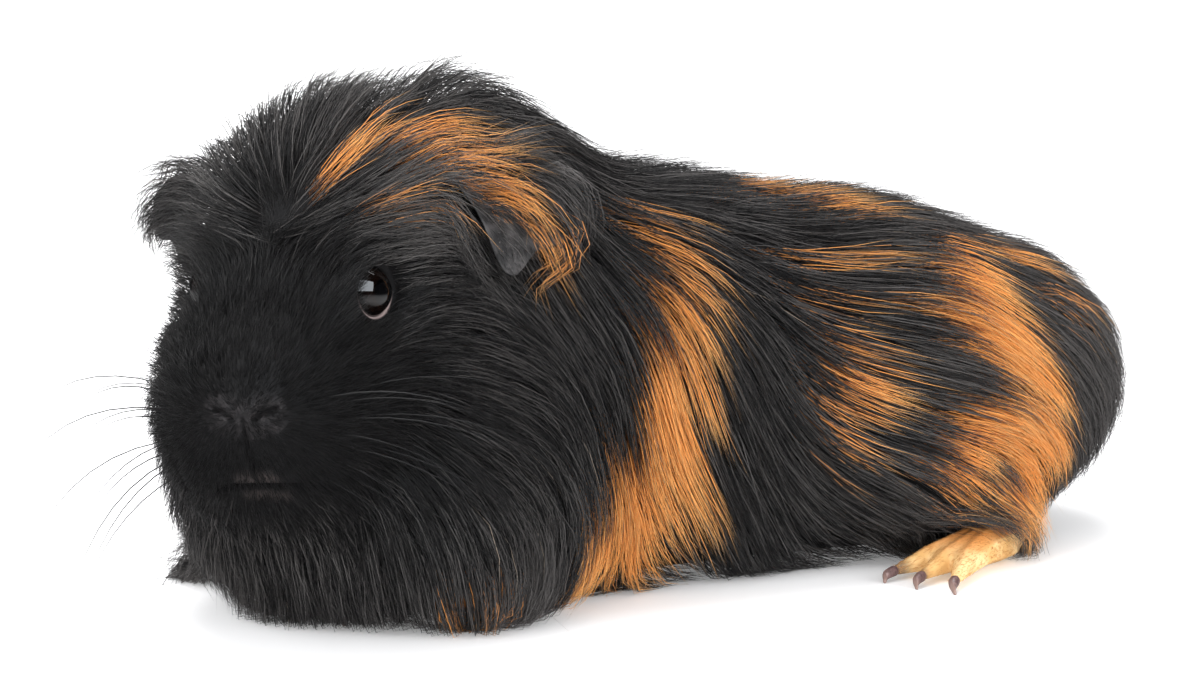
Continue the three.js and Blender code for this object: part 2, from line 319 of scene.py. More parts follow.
PAIRED_HEAD_PLACES = {
    "lip": ((43, 4, -19), 5, (-0.1, 0.35, -0.9), 1, 2.6, 0.14, 20, 0.2),
    "mouth_corner": ((36, 10, -26), 6, (-0.5, 0.5, -0.7), 2, 5, 0.16, 20, 0.3),
    "whisker_pad": ((36, 13, -14), 8, NOSE, 3, 6.5, 0.16, 18, 0.3),
    "muzzle_side": ((26, 19, -6), 8, (-0.85, 0.45, 0.1), 4, 9, 0.18, 18, 0.38),
    "eye_front": ((23, 14, 8), 6, (-0.75, 0.35, 0.5), 2, 7, 0.16, 22, 0.4),
    "eye": ((14.5, 18, 8.6), 5, NOSE, 1.2, 2.6, 0.13, 15, 0.1),
    "eye_under": ((14, 20, 0), 5, (-0.9, 0.2, -0.2), 2.2, 6, 0.16, 15, 0.3),
    "brow": ((10, 14, 20), 7, (-0.5, 0.8, -0.15), 7, 15, 0.22, 38, 0.5),
    "temple": ((3, 23, 8), 7, (-0.97, 0.2, -0.05), 3.6, 10, 0.18, 12, 0.3),
    "cheek": ((0, 30, -10), 11, (-0.85, 0.25, -0.35), 6.5, 17, 0.22, 18, 0.45),
    "jowl": ((10, 27, -27), 11, (-0.6, 0.25, -0.75), 8, 20, 0.22, 18, 0.5),
    "ear_root": ((-12, 26, 20), 7, (-0.5, 0.75, -0.3), 8, 9, 0.22, 25, 0.4),
    "ear_back": ((-13, 37, 17), 8, (-0.2, 0.3, -0.93), 2.5, 6, 0.22, 28, 0.3),
    "crest_front": ((8, 12, 29), 7, (-0.76, 0.3, 0.5), 8.5, 26, 0.23, 25, 0.5),
    "crest_top": ((-10, 19, 32), 8, (-0.62, 0.6, -0.3), 9.5, 30, 0.25, 28, 0.5),
    "crest_side": ((-22, 32, 29), 7, (-0.15, 0.5, -0.85), 8, 26, 0.25, 40, 0.5),
    "crest_fall": ((-20, 42, 12), 7, (0, 0.35, -0.93), 6, 22, 0.25, 20, 0.5),
    "behind_cheek": ((-22, 32, -8), 12, (-0.6, 0.1, -0.8), 8, 28, 0.26, 20, 0.6),
}
BODY_PLACES = {
    "mane_top": ((38, 8, 98), 17, (-0.95, 0, -0.05), 8.5, 40, 0.31, 35, 0.42),
    "mane_left": ((45, 38, 78), 15, (-0.42, 0.1, -0.9), 8.5, 40, 0.31, 25, 0.32),
    "mane_right": ((58, -22, 82), 17, (-0.7, -0.3, -0.6), 8.5, 38, 0.31, 25, 0.32),
    "shoulder_left": ((30, 46, 50), 15, (-0.12, 0, -1), 7.5, 38, 0.32, 20, 0.32),
    "shoulder_right": ((42, -42, 50), 17, (-0.5, 0, -0.85), 7.5, 38, 0.32, 20, 0.32),
    "elbow_left": ((46, 52, 18), 13, (0.5, 0.1, -0.85), 7, 28, 0.31, 18, 0.38),
    "elbow_right": ((48, -44, 16), 14, (-0.1, -0.1, -1), 7, 28, 0.31, 18, 0.38),
    "breast_left": ((74, 56, 18), 14, (-0.1, 0.1, -1), 7, 26, 0.27, 18, 0.42),
    "breast_right": ((90, -20, 26), 16, (0.1, -0.1, -1), 8, 26, 0.27, 18, 0.42),
    "breast_fringe": ((88, -26, 18), 9, (0.8, -0.55, -0.15), 6, 14, 0.25, 30, 0.42),
    "breast_low": ((86, 16, 8), 16, (0.1, 0, -1), 6, 20, 0.27, 15, 0.38),
    "withers": ((8, 5, 92), 15, (-1, 0, -0.1), 6.5, 36, 0.32, 25, 0.38),
    "back": ((-30, 0, 88), 16, (-1, 0, 0), 6, 34, 0.32, 20, 0.38),
    "croup": ((-84, 0, 76), 17, (-0.93, 0, -0.35), 6, 32, 0.32, 20, 0.38),
    "belly": ((0, 0, 2), 30, (-1, 0, 0), 4, 14, 0.32, 10, 0.4),
    "rear": ((-128, 0, 40), 17, (-0.35, 0, -0.95), 6, 30, 0.32, 20, 0.5),
}
PAIRED_BODY_PLACES = {
    "withers_side": ((10, 32, 80), 12, (-0.5, 0.1, -0.86), 7, 38, 0.32, 22, 0.32),
    "flank_front": ((0, 46, 46), 12, (-0.38, 0, -0.92), 6.5, 36, 0.32, 18, 0.32),
    "flank_front_low": ((0, 46, 16), 12, (-0.12, 0, -1), 6, 32, 0.31, 18, 0.32),
    "saddle": ((-36, 38, 74), 14, (-0.98, 0.1, -0.15), 6.5, 36, 0.32, 20, 0.38),
    "flank": ((-32, 48, 48), 13, (-0.93, 0, -0.3), 6.5, 36, 0.32, 18, 0.32),
    "flank_low": ((-30, 50, 24), 12, (-0.9, 0, -0.42), 6, 32, 0.31, 18, 0.38),
    "hip": ((-78, 36, 62), 14, (-0.75, 0.15, -0.6), 6, 32, 0.32, 18, 0.38),
    "rump_side": ((-88, 42, 44), 13, (-0.5, 0.1, -0.85), 6, 32, 0.32, 18, 0.38),
    "thigh": ((-60, 52, 30), 12, (-0.98, 0.05, -0.15), 6, 28, 0.31, 18, 0.38),
    "thigh_rear": ((-88, 46, 22), 11, (-0.65, 0, -0.75), 6, 24, 0.29, 18, 0.42),
    "thigh_low": ((-50, 52, 12), 9, (-0.4, 0.35, -0.8), 6, 22, 0.26, 20, 0.38),
    "thigh_hem": ((-66, 56, 13), 10, (0.1, 0.35, -0.93), 6, 22, 0.27, 24, 0.38),
    "rear_side": ((-118, 30, 30), 14, (-0.4, 0.1, -0.9), 6, 28, 0.32, 18, 0.5),
}


def all_places():
    """Every place in the row frame, the paired ones once for each side."""
    groups = [(HEAD_PLACES, 1, True), (BODY_PLACES, 1, False)]
    for side in SIDES.values():
        groups += [(PAIRED_HEAD_PLACES, side, True), (PAIRED_BODY_PLACES, side, False)]
    found = []
    for places, side, head in groups:
        for name, values in places.items():
            spot = dict(zip(PLACE_VALUES, values), name=name)
            spot["whorl"] = spot["comb"] in WHORLS
            spot["at"], spot["comb"] = mirrored(spot["at"], side), mirrored(spot["comb"], side)
            if head:
                spot["at"] = on_head(spot["at"])
                spot["comb"] = on_head(spot["comb"]) if spot["whorl"] else HEAD_TURN @ spot["comb"]
            found.append(spot)
    return found


PLACES = all_places()


def shares(points):
    """How much each place counts at each point; a point's shares add up to one."""
    points = np.asarray(points, float)
    closeness = np.empty((len(points), len(PLACES)))
    for i, spot in enumerate(PLACES):
        away = ((points - spot["at"]) ** 2).sum(1)
        closeness[:, i] = -away / (2 * spot["reach"] ** 2)
    closeness -= closeness.max(1, keepdims=True)
    weight = np.exp(closeness)
    return weight / weight.sum(1, keepdims=True)


def groom_at(points, *names):
    """The named values of the groom at each point."""
    weight = shares(points)
    return [weight @ np.array([spot[name] for spot in PLACES], float) for name in names]


def comb_at(points):
    """The way the hair is combed at each point, not yet laid along the skin."""
    weight = shares(points)
    way = np.zeros_like(points)
    for i, spot in enumerate(PLACES):
        pull = unit(points - spot["comb"]) if spot["whorl"] else unit(spot["comb"][None])
        way += weight[:, i : i + 1] * pull
    return way


# ------------------------------------------------------------------ the skin
SKIN_VOXEL = 1.7
SHRINK_STEPS = 8
ROUNDING = {"solids": 6, "step": 3, "skin": 4}  # how many times each stage of the skin is smoothed
INSET = 0.92  # how much of the coat's depth lies outside the skin, its tips laid flat
LOWEST_SKIN = 0.5
# Where thick hair fills the form out: a place on the head or body, its reach and its height.
HEAD_SWELLS = [
    ((0, -20, 31), 8, 3), ((4, -8, 34), 13, 3.3), ((-14, 2, 42), 15, 4.2), ((0, -29, 12), 9, 3.5),
    ((-10, -25, 24), 8, 3), ((-11, 27, 24), 9, 5), ((-9, -30, 11), 8, 5), ((18, -32, -15), 12, 2.2),
    ((33, -23, -10), 9, 2),
]
BODY_SWELLS = [
    ((60, 14, 108), 14, 3.6), ((72, 57, 6), 13, 3.2), ((-69, 54, 12), 9, 8.5),
    ((-50, 52, 14), 8, 5), ((-77, 60, 8), 8, 6),
]
EYE_RADIUS = 5.8
EYE_OUTLOOK = (0.3, 0.94, 0.12)
EYE_OPENING = 5.15
EYE_AHEAD = 3 * EYE_RADIUS  # what is farther out from an eye's middle isn't its lid or on it
LID = {
    "behind": 1.5, "thickness": 0.45, "blend": 6.5, "edge": 4.0, "edge_width": 1.3,
    "swell": 0.45, "swell_at": 1.1, "swell_width": 0.9,
}
# Hollows of the solids that flesh fills: a middle and half sizes, on the row's or the head's axes.
EYE_PLUG = 8.5
FORE_PLUG = {"at": (83, 21, 3), "size": (29, 18, 11)}
SHANK_PLUG = {"at": (-66, 42, 7), "size": (20, 9, 8)}


def ball(at, size, segments=32, rings=16):
    """A primitive sphere stretched to these half sizes, as an object."""
    deselect_all()
    bpy.ops.mesh.primitive_uv_sphere_add(segments=segments, ring_count=rings, radius=MM)
    obj = bpy.context.active_object
    set_points(obj, points_of(obj) * np.asarray(size) + np.asarray(at))
    return obj


def body_under_the_coat():
    """The flesh as one closed surface, drawn in from the coat's tips by the coat's depth."""
    body = copy_of_nodes(FLESH, "skin")
    plugs = []
    for side in SIDES.values():
        plugs.append(ball(eye_line(side)[0], (EYE_PLUG,) * 3))
        for plug in (FORE_PLUG, SHANK_PLUG):
            plugs.append(ball(mirrored(plug["at"], side), plug["size"]))
    joined_into(body, plugs)
    remesh(body, SKIN_VOXEL)
    smooth_surface(body, ROUNDING["solids"])
    (depth,) = groom_at(points_of(body), "depth")
    for _ in range(SHRINK_STEPS):
        moved = points_of(body) - normals_of(body) * depth[:, None] * INSET / SHRINK_STEPS
        set_points(body, moved)
        smooth_surface(body, ROUNDING["step"])
    low, out = points_of(body), normals_of(body)
    for middle, reach, height in [(on_head(at), *rest) for at, *rest in HEAD_SWELLS] + BODY_SWELLS:
        near = np.exp(-((low - middle) ** 2).sum(1) / reach**2)
        low += out * (height * near)[:, None]
    low[:, 2] = np.maximum(low[:, 2], LOWEST_SKIN)
    set_points(body, low)
    remesh(body, SKIN_VOXEL)
    smooth_surface(body, ROUNDING["skin"])
    return body


# Creases and swellings of the muzzle, on its front: a path in the head's Y and Z, how wide it is
# and how far it goes in, or out where that is negative. Paths are mirrored to the other side.
MUZZLE_FORMS = {
    "nostril": dict(path=[(2.3, -8.6), (3.8, -7.4), (6.2, -7.0)], width=0.38, inward=1.7),
    "nostril_roof": dict(path=[(2.6, -6.9), (4.4, -5.7), (7.0, -5.4)], width=0.8, inward=-0.2),
    "nostril_floor": dict(path=[(3.2, -10.2), (5.8, -8.9)], width=0.9, inward=-0.12),
    "philtrum": dict(path=[(0, -8.5), (0, -15), (0, -21)], width=0.36, inward=0.7),
    "upper_lip": dict(path=[(0, -20), (4, -20.6)], width=1.6, inward=-0.5),
    "mouth": dict(path=[(0, -22.4), (4, -22.5), (7, -23.1), (10, -25.2)], width=0.5, inward=2.4),
    "lower_lip": dict(path=[(0, -24.8), (4, -25.2)], width=1.4, inward=0.4),
}
MUZZLE_FROM, MUZZLE_FADE = 30, 5  # these forms are only ahead of this, and come in over this
MUZZLE_LEAN = 0.14  # how far the midline leans to the right for each millimetre up
NOSE_ROOTS = (45, 0, -14)
# How near the muzzle's front and each eye the skin's faces are cut in four, round by round.
FINE_SKIN = ((18, 14), (14.5, 11), (0, 8.2))


def distance_to_path(points, path):
    """How far each 2-D point is from a line through these corners."""
    best = np.full(len(points), np.inf)
    for start, end in zip(path[:-1], path[1:]):
        a, run = np.array(start, float), np.subtract(end, start)
        t = np.clip(((points - a) @ run) / (run @ run), 0, 1)
        best = np.minimum(best, np.linalg.norm(points - a - t[:, None] * run, axis=1))
    return best


def on_muzzle(local):
    """Places on the muzzle's front: how far out from its midline, which leans a little, and Z."""
    midline = NOSE[1] - MUZZLE_LEAN * (local[:, 2] - NOSE[2])
    return np.stack([np.abs(local[:, 1] - midline), local[:, 2]], 1)


def shape_muzzle(skin):
    points, normals = points_of(skin), normals_of(skin)
    local = in_head(points)
    ahead = smoothstep(MUZZLE_FROM, MUZZLE_FROM + MUZZLE_FADE, local[:, 0])
    front = on_muzzle(local)
    inward = np.zeros(len(points))
    for form in MUZZLE_FORMS.values():
        near = distance_to_path(front, form["path"]) / form["width"]
        inward += form["inward"] * np.exp(-(near**2))
    set_points(skin, points - normals * (inward * ahead)[:, None])


def eye_line(side):
    """An eye's middle and the way it looks out."""
    return on_head(mirrored(EYE_IN_HEAD, side)), HEAD_TURN @ unit(mirrored(EYE_OUTLOOK, side))


def round_the_eye(points, side):
    """How far each point stands out along the way an eye looks, how far from that line it is and
    which way, and the line's direction."""
    middle, axis = eye_line(side)
    spoke = points - middle
    height = spoke @ axis
    across = spoke - height[..., None] * axis
    return height, np.linalg.norm(across, axis=-1), across, axis


def shape_lids(skin):
    """Draws the skin round each eyeball into lids, and sinks it behind the ball in the opening."""
    points, normals = points_of(skin), normals_of(skin)
    rim_height = math.sqrt(EYE_RADIUS**2 - EYE_OPENING**2) + LID["thickness"]
    for side in SIDES.values():
        height, wide, _, axis = round_the_eye(points, side)
        beyond = wide - EYE_OPENING
        ahead = (height > -LID["behind"]) & (height < EYE_AHEAD) & (normals @ axis > 0)
        near = ahead & (beyond < LID["blend"])
        swell = LID["swell"] * np.exp(-(((beyond - LID["swell_at"]) / LID["swell_width"]) ** 2))
        outside = smoothstep(0, LID["blend"], beyond)
        lid = (rim_height + swell) * (1 - outside) + height * outside
        inside = rim_height - LID["edge"] * smoothstep(0, LID["edge_width"], -beyond)
        target = np.where(beyond > 0, lid, inside)
        points = np.where(near[:, None], points + axis * (target - height)[:, None], points)
    set_points(skin, points)


# ------------------------------------------------------------------ ears and feet
# Each ear hangs along a curve through these points on the head, from inside its root to its tip.
EAR_LINES = {
    1: [(-14, 22, 21), (-15, 33, 25), (-12, 40.5, 18), (-9, 41.5, 6)],
    -1: [(-12, 20, 21), (-13, 28.5, 24), (-12, 34.5, 17.5), (-10, 36, 6.5)],
}
EAR_ACROSS = {1: (-0.6, 0.78, -0.1), -1: (-0.5, 0.82, -0.15)}
EAR = {
    "width": 23, "thickness": 1.5, "curl": 3,
    "notch": {"at": 0.25, "width": 0.3, "depth": 0.14},
    "root": -0.55,  # where on the curve it starts, inside the head
}
SLOPE_STEP = 1e-3  # how far apart on the curve its direction is measured


def curve_point(corners, t):
    """Points on a smooth curve through the corners; t runs from 0 to 1 and straight on beyond."""
    corners = np.asarray(corners, float)
    ends = np.vstack([2 * corners[0] - corners[1], corners, 2 * corners[-1] - corners[-2]])
    spans = len(corners) - 1
    inside = np.clip(t, 0, 1)
    span = np.minimum((inside * spans).astype(int), spans - 1)
    u = (inside * spans - span)[:, None]
    a, b, c, d = (ends[span + k] for k in range(4))
    smooth = 0.5 * (
        2 * b + (c - a) * u + (2 * a - 5 * b + 4 * c - d) * u**2 + (3 * b - a - 3 * c + d) * u**3
    )
    beyond = (t - inside)[:, None] * spans
    first, last = corners[1] - corners[0], corners[-1] - corners[-2]
    return smooth + beyond * np.where(t[:, None] < 0, first, last)


def ear_shape(side):
    """A thin petal that leaves the head and hangs over, its hollow side turned forward."""
    ear = ball((0, 0, 0), (1, 1, 1), segments=56, rings=40)
    x, y, z = points_of(ear).T
    curve = [mirrored(corner, side) for corner in EAR_LINES[side]]
    across = unit(mirrored(EAR_ACROSS[side], side))
    notch = EAR["notch"]
    reach = 1 - notch["depth"] * np.exp(-(((x - notch["at"]) / notch["width"]) ** 2))
    t = EAR["root"] + (y + 1) / 2 * (reach - EAR["root"])
    along = unit(curve_point(curve, t + SLOPE_STEP) - curve_point(curve, t - SLOPE_STEP))
    face = unit(np.cross(along, across)) * side
    blunt = np.sign(z) * np.sqrt(np.abs(z)) * EAR["thickness"] / 2
    at = curve_point(curve, t) + across * (x * EAR["width"] / 2)[:, None]
    at += face * (EAR["curl"] * x * x + blunt)[:, None]
    set_points(ear, on_head(at))
    merge_doubles(ear)
    return ear


FOOT_VOXEL = 0.55
FOOT_ROUNDING = 8
SKIN_SLOT, EAR_SLOT, FOOT_SLOT = 0, 1, 2


def foot_shape(node):
    """A foot from its solid, rounded, with soft creases between the toes."""
    foot = copy_of_nodes([node], "shape_" + node)
    remesh(foot, FOOT_VOXEL)
    smooth_surface(foot, FOOT_ROUNDING)
    return foot


def sort_faces(obj):
    """Gives the faces one fixed order, because a union hands them back in a new one each time."""
    mesh = obj.data
    faces = []
    for face in mesh.polygons:
        corners = list(face.vertices)
        first = corners.index(min(corners))
        faces.append((corners[first:] + corners[:first], face.material_index))
    faces.sort()
    points = points_of(obj) * MM
    mesh.clear_geometry()
    mesh.from_pydata(points, [], [corners for corners, _ in faces])
    mesh.polygons.foreach_set("material_index", [slot for _, slot in faces])
    mesh.update()


def united(skin, part, slot_index):
    """Joins a part into the skin as one closed surface; its faces keep their own finish."""
    part.data.materials.clear()
    for material in skin.data.materials:
        part.data.materials.append(material)
    part.data.polygons.foreach_set("material_index", [slot_index] * len(part.data.polygons))
    part.data.update()
    apply_modifier(
        skin, "BOOLEAN", operation="UNION", object=part, solver="MANIFOLD", material_mode="INDEX")
    bpy.data.objects.remove(part)
    sort_faces(skin)


# ------------------------------------------------------------------ the ginger markings
# Strokes of ginger on the black, each through points of X, Y, Z and the stroke's half width there.
HEAD_STROKES = {
    "crest_point": [(12, 9.5, 31, 1.0), (7, 11.5, 35.5, 2.2), (1, 13.5, 39, 1.8)],
    "crest_middle": [(1, 14, 39.5, 2.6), (-7, 18, 41, 3.4), (-14, 25, 38, 3.4), (-17, 31, 32, 3.2)],
    "crest_rear": [(-12, 27, 33, 2.4), (-17, 33, 29, 3.8), (-18, 40, 20, 3.4)],
    "crest_inner": [(-9, 27, 29, 2.2), (-9, 33, 25, 3), (-9, 38, 20, 2)],
    "crest_over": [(-6, 26, 36, 2.4), (-11, 35, 31, 4), (-11, 43, 22, 4), (-13, 47.5, 12, 3.4),
                   (-14, 50, 1.5, 2.2)],
    "crest_fall": [(-18, 41, 20, 3.4), (-19, 46, 9, 3), (-18, 48, 1, 1.8)],
    "brow_streak": [(8, 20, 26, 2.2), (3, 24, 25, 4.2), (-1, 27, 22.5, 3.4)],
}
STROKES = {
    "left_shoulder": [(17, 26, 86, 1.8), (14, 38, 76, 3.4), (15, 43, 66, 4.2), (19, 46, 55, 5.5),
                      (19, 46, 42, 7.5), (23, 46, 25, 10.5), (36, 49, 8, 12)],
    "left_breast": [(72, 57, 2, 7)],
    "left_back": [(-24, 4, 88, 3), (-47, 20, 83, 4.5)],
    "left_saddle": [(-18, 38, 70, 1.5), (-38, 37, 73, 3), (-55, 36, 71, 1.5)],
    "left_saddle_low": [(-20, 42, 64, 1.5), (-57, 44, 61, 2)],
    "left_flank": [(-28, 45, 59, 3.5), (-31, 49, 49, 5.5), (-28, 50, 40, 6), (-22, 50, 31, 5),
                   (-18, 50, 23, 3.5)],
    "left_rump": [(-70, 28, 72, 4.5), (-68, 41, 60, 9), (-74, 45, 48, 9.5), (-83, 46, 36, 8)],
    "left_rump_edge": [(-83, 20, 74, 2), (-97, 25, 68, 3), (-102, 38, 52, 3)],
    "left_thigh": [(-52, 52, 16, 4), (-61, 52, 32, 6), (-72, 50, 32, 8), (-86, 46, 22, 8),
                   (-70, 51, 10, 6)],
    "right_neck": [(60, -18, 92, 3), (50, -34, 74, 6), (46, -42, 52, 7), (50, -46, 30, 8)],
    "right_flank": [(0, -46, 52, 5), (-20, -48, 40, 6), (-34, -49, 24, 5)],
    "right_rump": [(-70, -30, 72, 5), (-84, -40, 56, 8), (-96, -40, 36, 7)],
    "right_thigh": [(-56, -52, 22, 6), (-72, -50, 24, 7)],
    "right_saddle": [(-20, -34, 76, 2.5), (-50, -34, 74, 3)],
}
# Strokes where black hair stays among the ginger: the lower the number, the more of it.
MIXED = {
    "crest_middle": 0.03, "crest_fall": 0.12, "crest_over": 0.08, "brow_streak": 0.05,
    "left_breast": -0.04, "left_saddle": 0.02, "left_saddle_low": -0.05, "left_flank": 0.05,
    "left_back": 0.08, "left_rump_edge": 0.0, "right_saddle": 0.02, "right_flank": 0.12,
}
PURE, OUTSIDE = 9, -9.0  # more than any point's share of a stroke, and less than any
# How far a patch's edge wanders, in waves this long, and where black turns to ginger across it.
EDGE = {"wander": 0.3, "waves": (9, 14, 23), "seed": 5, "black": -0.07, "ginger": 0.19}


def ripple(points, waves, seed):
    """A smooth wandering value of about -1 to 1, from waves of these lengths in millimetres."""
    rng = np.random.default_rng(seed)
    total = np.zeros(len(points))
    for length in waves:
        way = unit(rng.normal(size=3))
        swing = unit(rng.normal(size=3))
        bend = 1.7 * np.sin(points @ swing * (2 * math.pi / (length * 1.9)) + rng.uniform(0, 6))
        total += np.sin(points @ way * (2 * math.pi / length) + bend + rng.uniform(0, 6))
    return total / len(waves)


def stroke_strength(points, stroke):
    """How deep inside a stroke each point is: 1 on its line, 0 at its edge."""
    stroke = np.asarray(stroke, float)
    best = np.full(len(points), OUTSIDE)
    legs = zip(stroke[:-1], stroke[1:]) if len(stroke) > 1 else [(stroke[0], stroke[0])]
    for start, end in legs:
        run = end[:3] - start[:3]
        t = np.clip((points - start[:3]) @ run / max(run @ run, 1e-9), 0, 1)
        away = np.linalg.norm(points - start[:3] - t[:, None] * run, axis=1)
        best = np.maximum(best, 1 - away / (start[3] + t * (end[3] - start[3])))
    return best


def ginger_at(points, jitter=0.0):
    """How ginger the coat is at each point, from 0, black, to 1."""
    points = np.asarray(points, float)
    local = in_head(points)
    best = np.full(len(points), OUTSIDE)
    for strokes, place_of in ((HEAD_STROKES, local), (STROKES, points)):
        for name, stroke in strokes.items():
            inside = stroke_strength(place_of, stroke)
            best = np.maximum(best, np.minimum(inside, MIXED.get(name, PURE)))
    edge = best + EDGE["wander"] * ripple(points, EDGE["waves"], EDGE["seed"]) + jitter
    return smoothstep(EDGE["black"], EDGE["ginger"], edge)


# ------------------------------------------------------------------ distance from the skin
GRID_STEP = 3.0
GRID_MARGIN = 27.0
IN_LAST_CELL = 0.999


class SkinField:
    """How far each point is from the skin, and the way out of it, from a grid."""

    def __init__(self, skin):
        tree = BVHTree.FromObject(skin, bpy.context.evaluated_depsgraph_get())
        points = points_of(skin)
        self.low = points.min(0) - GRID_MARGIN
        counts = np.ceil((points.max(0) + GRID_MARGIN - self.low) / GRID_STEP).astype(int) + 1
        axes = [self.low[i] + np.arange(counts[i]) * GRID_STEP for i in range(3)]
        grid = np.empty(counts)
        for i, x in enumerate(axes[0]):
            for j, y in enumerate(axes[1]):
                for k, z in enumerate(axes[2]):
                    at = Vector((x * MM, y * MM, z * MM))
                    near, normal, _, away = tree.find_nearest(at)
                    inside = (at - near).dot(normal) < 0
                    grid[i, j, k] = -away / MM if inside else away / MM
        self.values = np.stack([grid, *np.gradient(grid, GRID_STEP)], -1)

    def look(self, points):
        """Distances and unit ways out, blended from the eight corners round each point."""
        top = np.array(self.values.shape[:3]) - 2
        place = np.clip((points - self.low) / GRID_STEP, 0, top + IN_LAST_CELL)
        cell = np.minimum(place.astype(int), top)
        part = place - cell
        total = np.zeros((len(points), 4))
        for corner in np.ndindex(2, 2, 2):
            weight = np.prod(np.where(corner, part, 1 - part), axis=1)
            total += weight[:, None] * self.values[tuple((cell + corner).T)]
        return total[:, 0], unit(total[:, 1:])


# ------------------------------------------------------------------ locks of hair
SUBSTEPS = 2
FLOOR_HAIR, FLOOR_PILE = 0.25, 0.5  # hair that meets the floor lies this high, in a pile this deep
ROOT_DEPTH = 0.3
HAIR_CLEARANCE = 0.12  # no hair comes nearer the skin than this, but at its root
UNWRAP_PATCH = 0.003
UNWRAP_MARGIN = 0.01
UNWRAP_AT_ONCE = 4000  # how many points are compared with the spine in one go
UNWRAP_LONG, UNWRAP_ROUND = 0.94, 0.98  # how much of the map the body takes up each way
# The spine's end behind the rump's middle, its end in the head's frame, how far it runs beyond
# both, and how many points it has.
SPINE = {"end": (-26, 0, -2), "nose": (34, 0, -10), "beyond": 0.08, "points": 120}
# A lock's line: how far its start strays, how much of its length it rises over, how soon its lift
# ends, how strongly it is drawn to its layer, and how much of its way it keeps at each step.
LINE = {"stray": 0.18, "rise": 0.24, "lift_ends": 2.2, "pull": 0.75, "keep": 0.45}
# A strand in its lock: how far along the line it goes, and how it closes in and strays toward its
# end. Then how soon it thins toward the tip, how wide its root is, and how soon it widens.
STRAND = {"reach": (0.72, 1.06), "closing": 1.3, "straying": 1.5}
TAPER = {"tip": 2.2, "root": 0.55, "widens": 4}
STRAND_EDGES = (90, 210, 330)  # where its edges stand round it, in degrees
STRAND_FLATNESS = 0.6  # how thick it is against its width


def spine_line():
    """A line through the body's middle, from the rump to the nose, that the unwrap runs along."""
    rump, trunk, neck = (node_middle(name) for name in ("rump", "trunk", "neck"))
    corners = [rump + SPINE["end"], rump, trunk, neck, HEAD_ORIGIN, on_head(SPINE["nose"])]
    return curve_point(corners, np.linspace(-SPINE["beyond"], 1 + SPINE["beyond"], SPINE["points"]))


def unwrapped(points):
    """Each point's place on the skin unrolled: along the spine, and round it."""
    line = spine_line()
    nearest = np.empty(len(points), int)
    for start in range(0, len(points), UNWRAP_AT_ONCE):
        some = slice(start, start + UNWRAP_AT_ONCE)
        nearest[some] = ((points[some, None] - line[None]) ** 2).sum(2).argmin(1)
    along = unit(np.gradient(line, axis=0))[nearest]
    spoke = points - line[nearest]
    run = (spoke * along).sum(1)
    across = unit(np.cross((0, 0, 1), along))
    up = np.cross(along, across)
    turn = np.arctan2((spoke * across).sum(1), (spoke * up).sum(1))
    step = np.linalg.norm(line[1] - line[0])
    u = 0.5 + UNWRAP_LONG * ((nearest + run / step) / (len(line) - 1) - 0.5)
    v = 0.5 + UNWRAP_ROUND * turn / (2 * math.pi)
    return np.stack([np.clip(u, UNWRAP_MARGIN, 1 - UNWRAP_MARGIN), v], 1)


def scattered(skin, chosen, density, rng):
    """Random points on the chosen faces, as many to the square millimetre as density says."""
    mesh = skin.data
    mesh.calc_loop_triangles()
    count = len(mesh.loop_triangles)
    corners, owner = np.empty(count * 3, int), np.empty(count, int)
    mesh.loop_triangles.foreach_get("vertices", corners)
    mesh.loop_triangles.foreach_get("polygon_index", owner)
    corners = corners.reshape(-1, 3)[chosen[owner]]
    points, normals = points_of(skin), normals_of(skin)
    a, b, c = (points[corners[:, i]] for i in range(3))
    area = np.linalg.norm(np.cross(b - a, c - a), axis=1) / 2
    share = area * density((a + b + c) / 3)
    wanted = rng.poisson(share)
    pick = np.repeat(np.arange(len(corners)), wanted)
    u, v = rng.random((2, len(pick)))
    fold = u + v > 1
    u, v = np.where(fold, 1 - u, u), np.where(fold, 1 - v, v)
    w = np.stack([1 - u - v, u, v], 1)[:, :, None]
    at = (points[corners[pick]] * w).sum(1)
    out = unit((normals[corners[pick]] * w).sum(1))
    return at, out


def laid_along(way, out):
    return unit(way - (way * out).sum(-1, keepdims=True) * out)


def guide_lines(field, roots, out, values, segments, rng):
    """Each lock's own line: it leaves the skin, rises to its layer and runs the way it is combed."""
    depth, length, lift, layer, loose = values
    steps = segments * SUBSTEPS
    way = laid_along(comb_at(roots), out)
    side = np.cross(out, way)
    way = unit(way + side * rng.normal(0, LINE["stray"], len(roots))[:, None])
    raised = np.radians(lift)[:, None]
    at, lines = roots.copy(), [roots.copy()]
    rise = LINE["rise"] * length
    for k in range(1, steps + 1):
        s = k / steps
        steep = raised * max(0.0, 1 - LINE["lift_ends"] * s)
        at = at + (way * np.cos(steep) + out * np.sin(steep)) * (length / steps)[:, None]
        away, out = field.look(at)
        height = depth * layer * (1 - np.exp(-s * length / rise)) + loose * s * s
        at = at + out * (LINE["pull"] * (height - away))[:, None]
        turned = (1 - LINE["keep"]) * laid_along(comb_at(at), out)
        way = laid_along(way * LINE["keep"] + turned, out)
        lines.append(at.copy())
    return np.stack(lines, 1)


def along_lines(lines, where):
    """Points on each line at these shares of its length."""
    last = lines.shape[1] - 1
    place = np.clip(where, 0, 1) * last
    cell = np.minimum(place.astype(int), last - 1)
    part = (place - cell)[..., None]
    rows = np.arange(len(lines))[:, None]
    return lines[rows, cell] * (1 - part) + lines[rows, cell + 1] * part


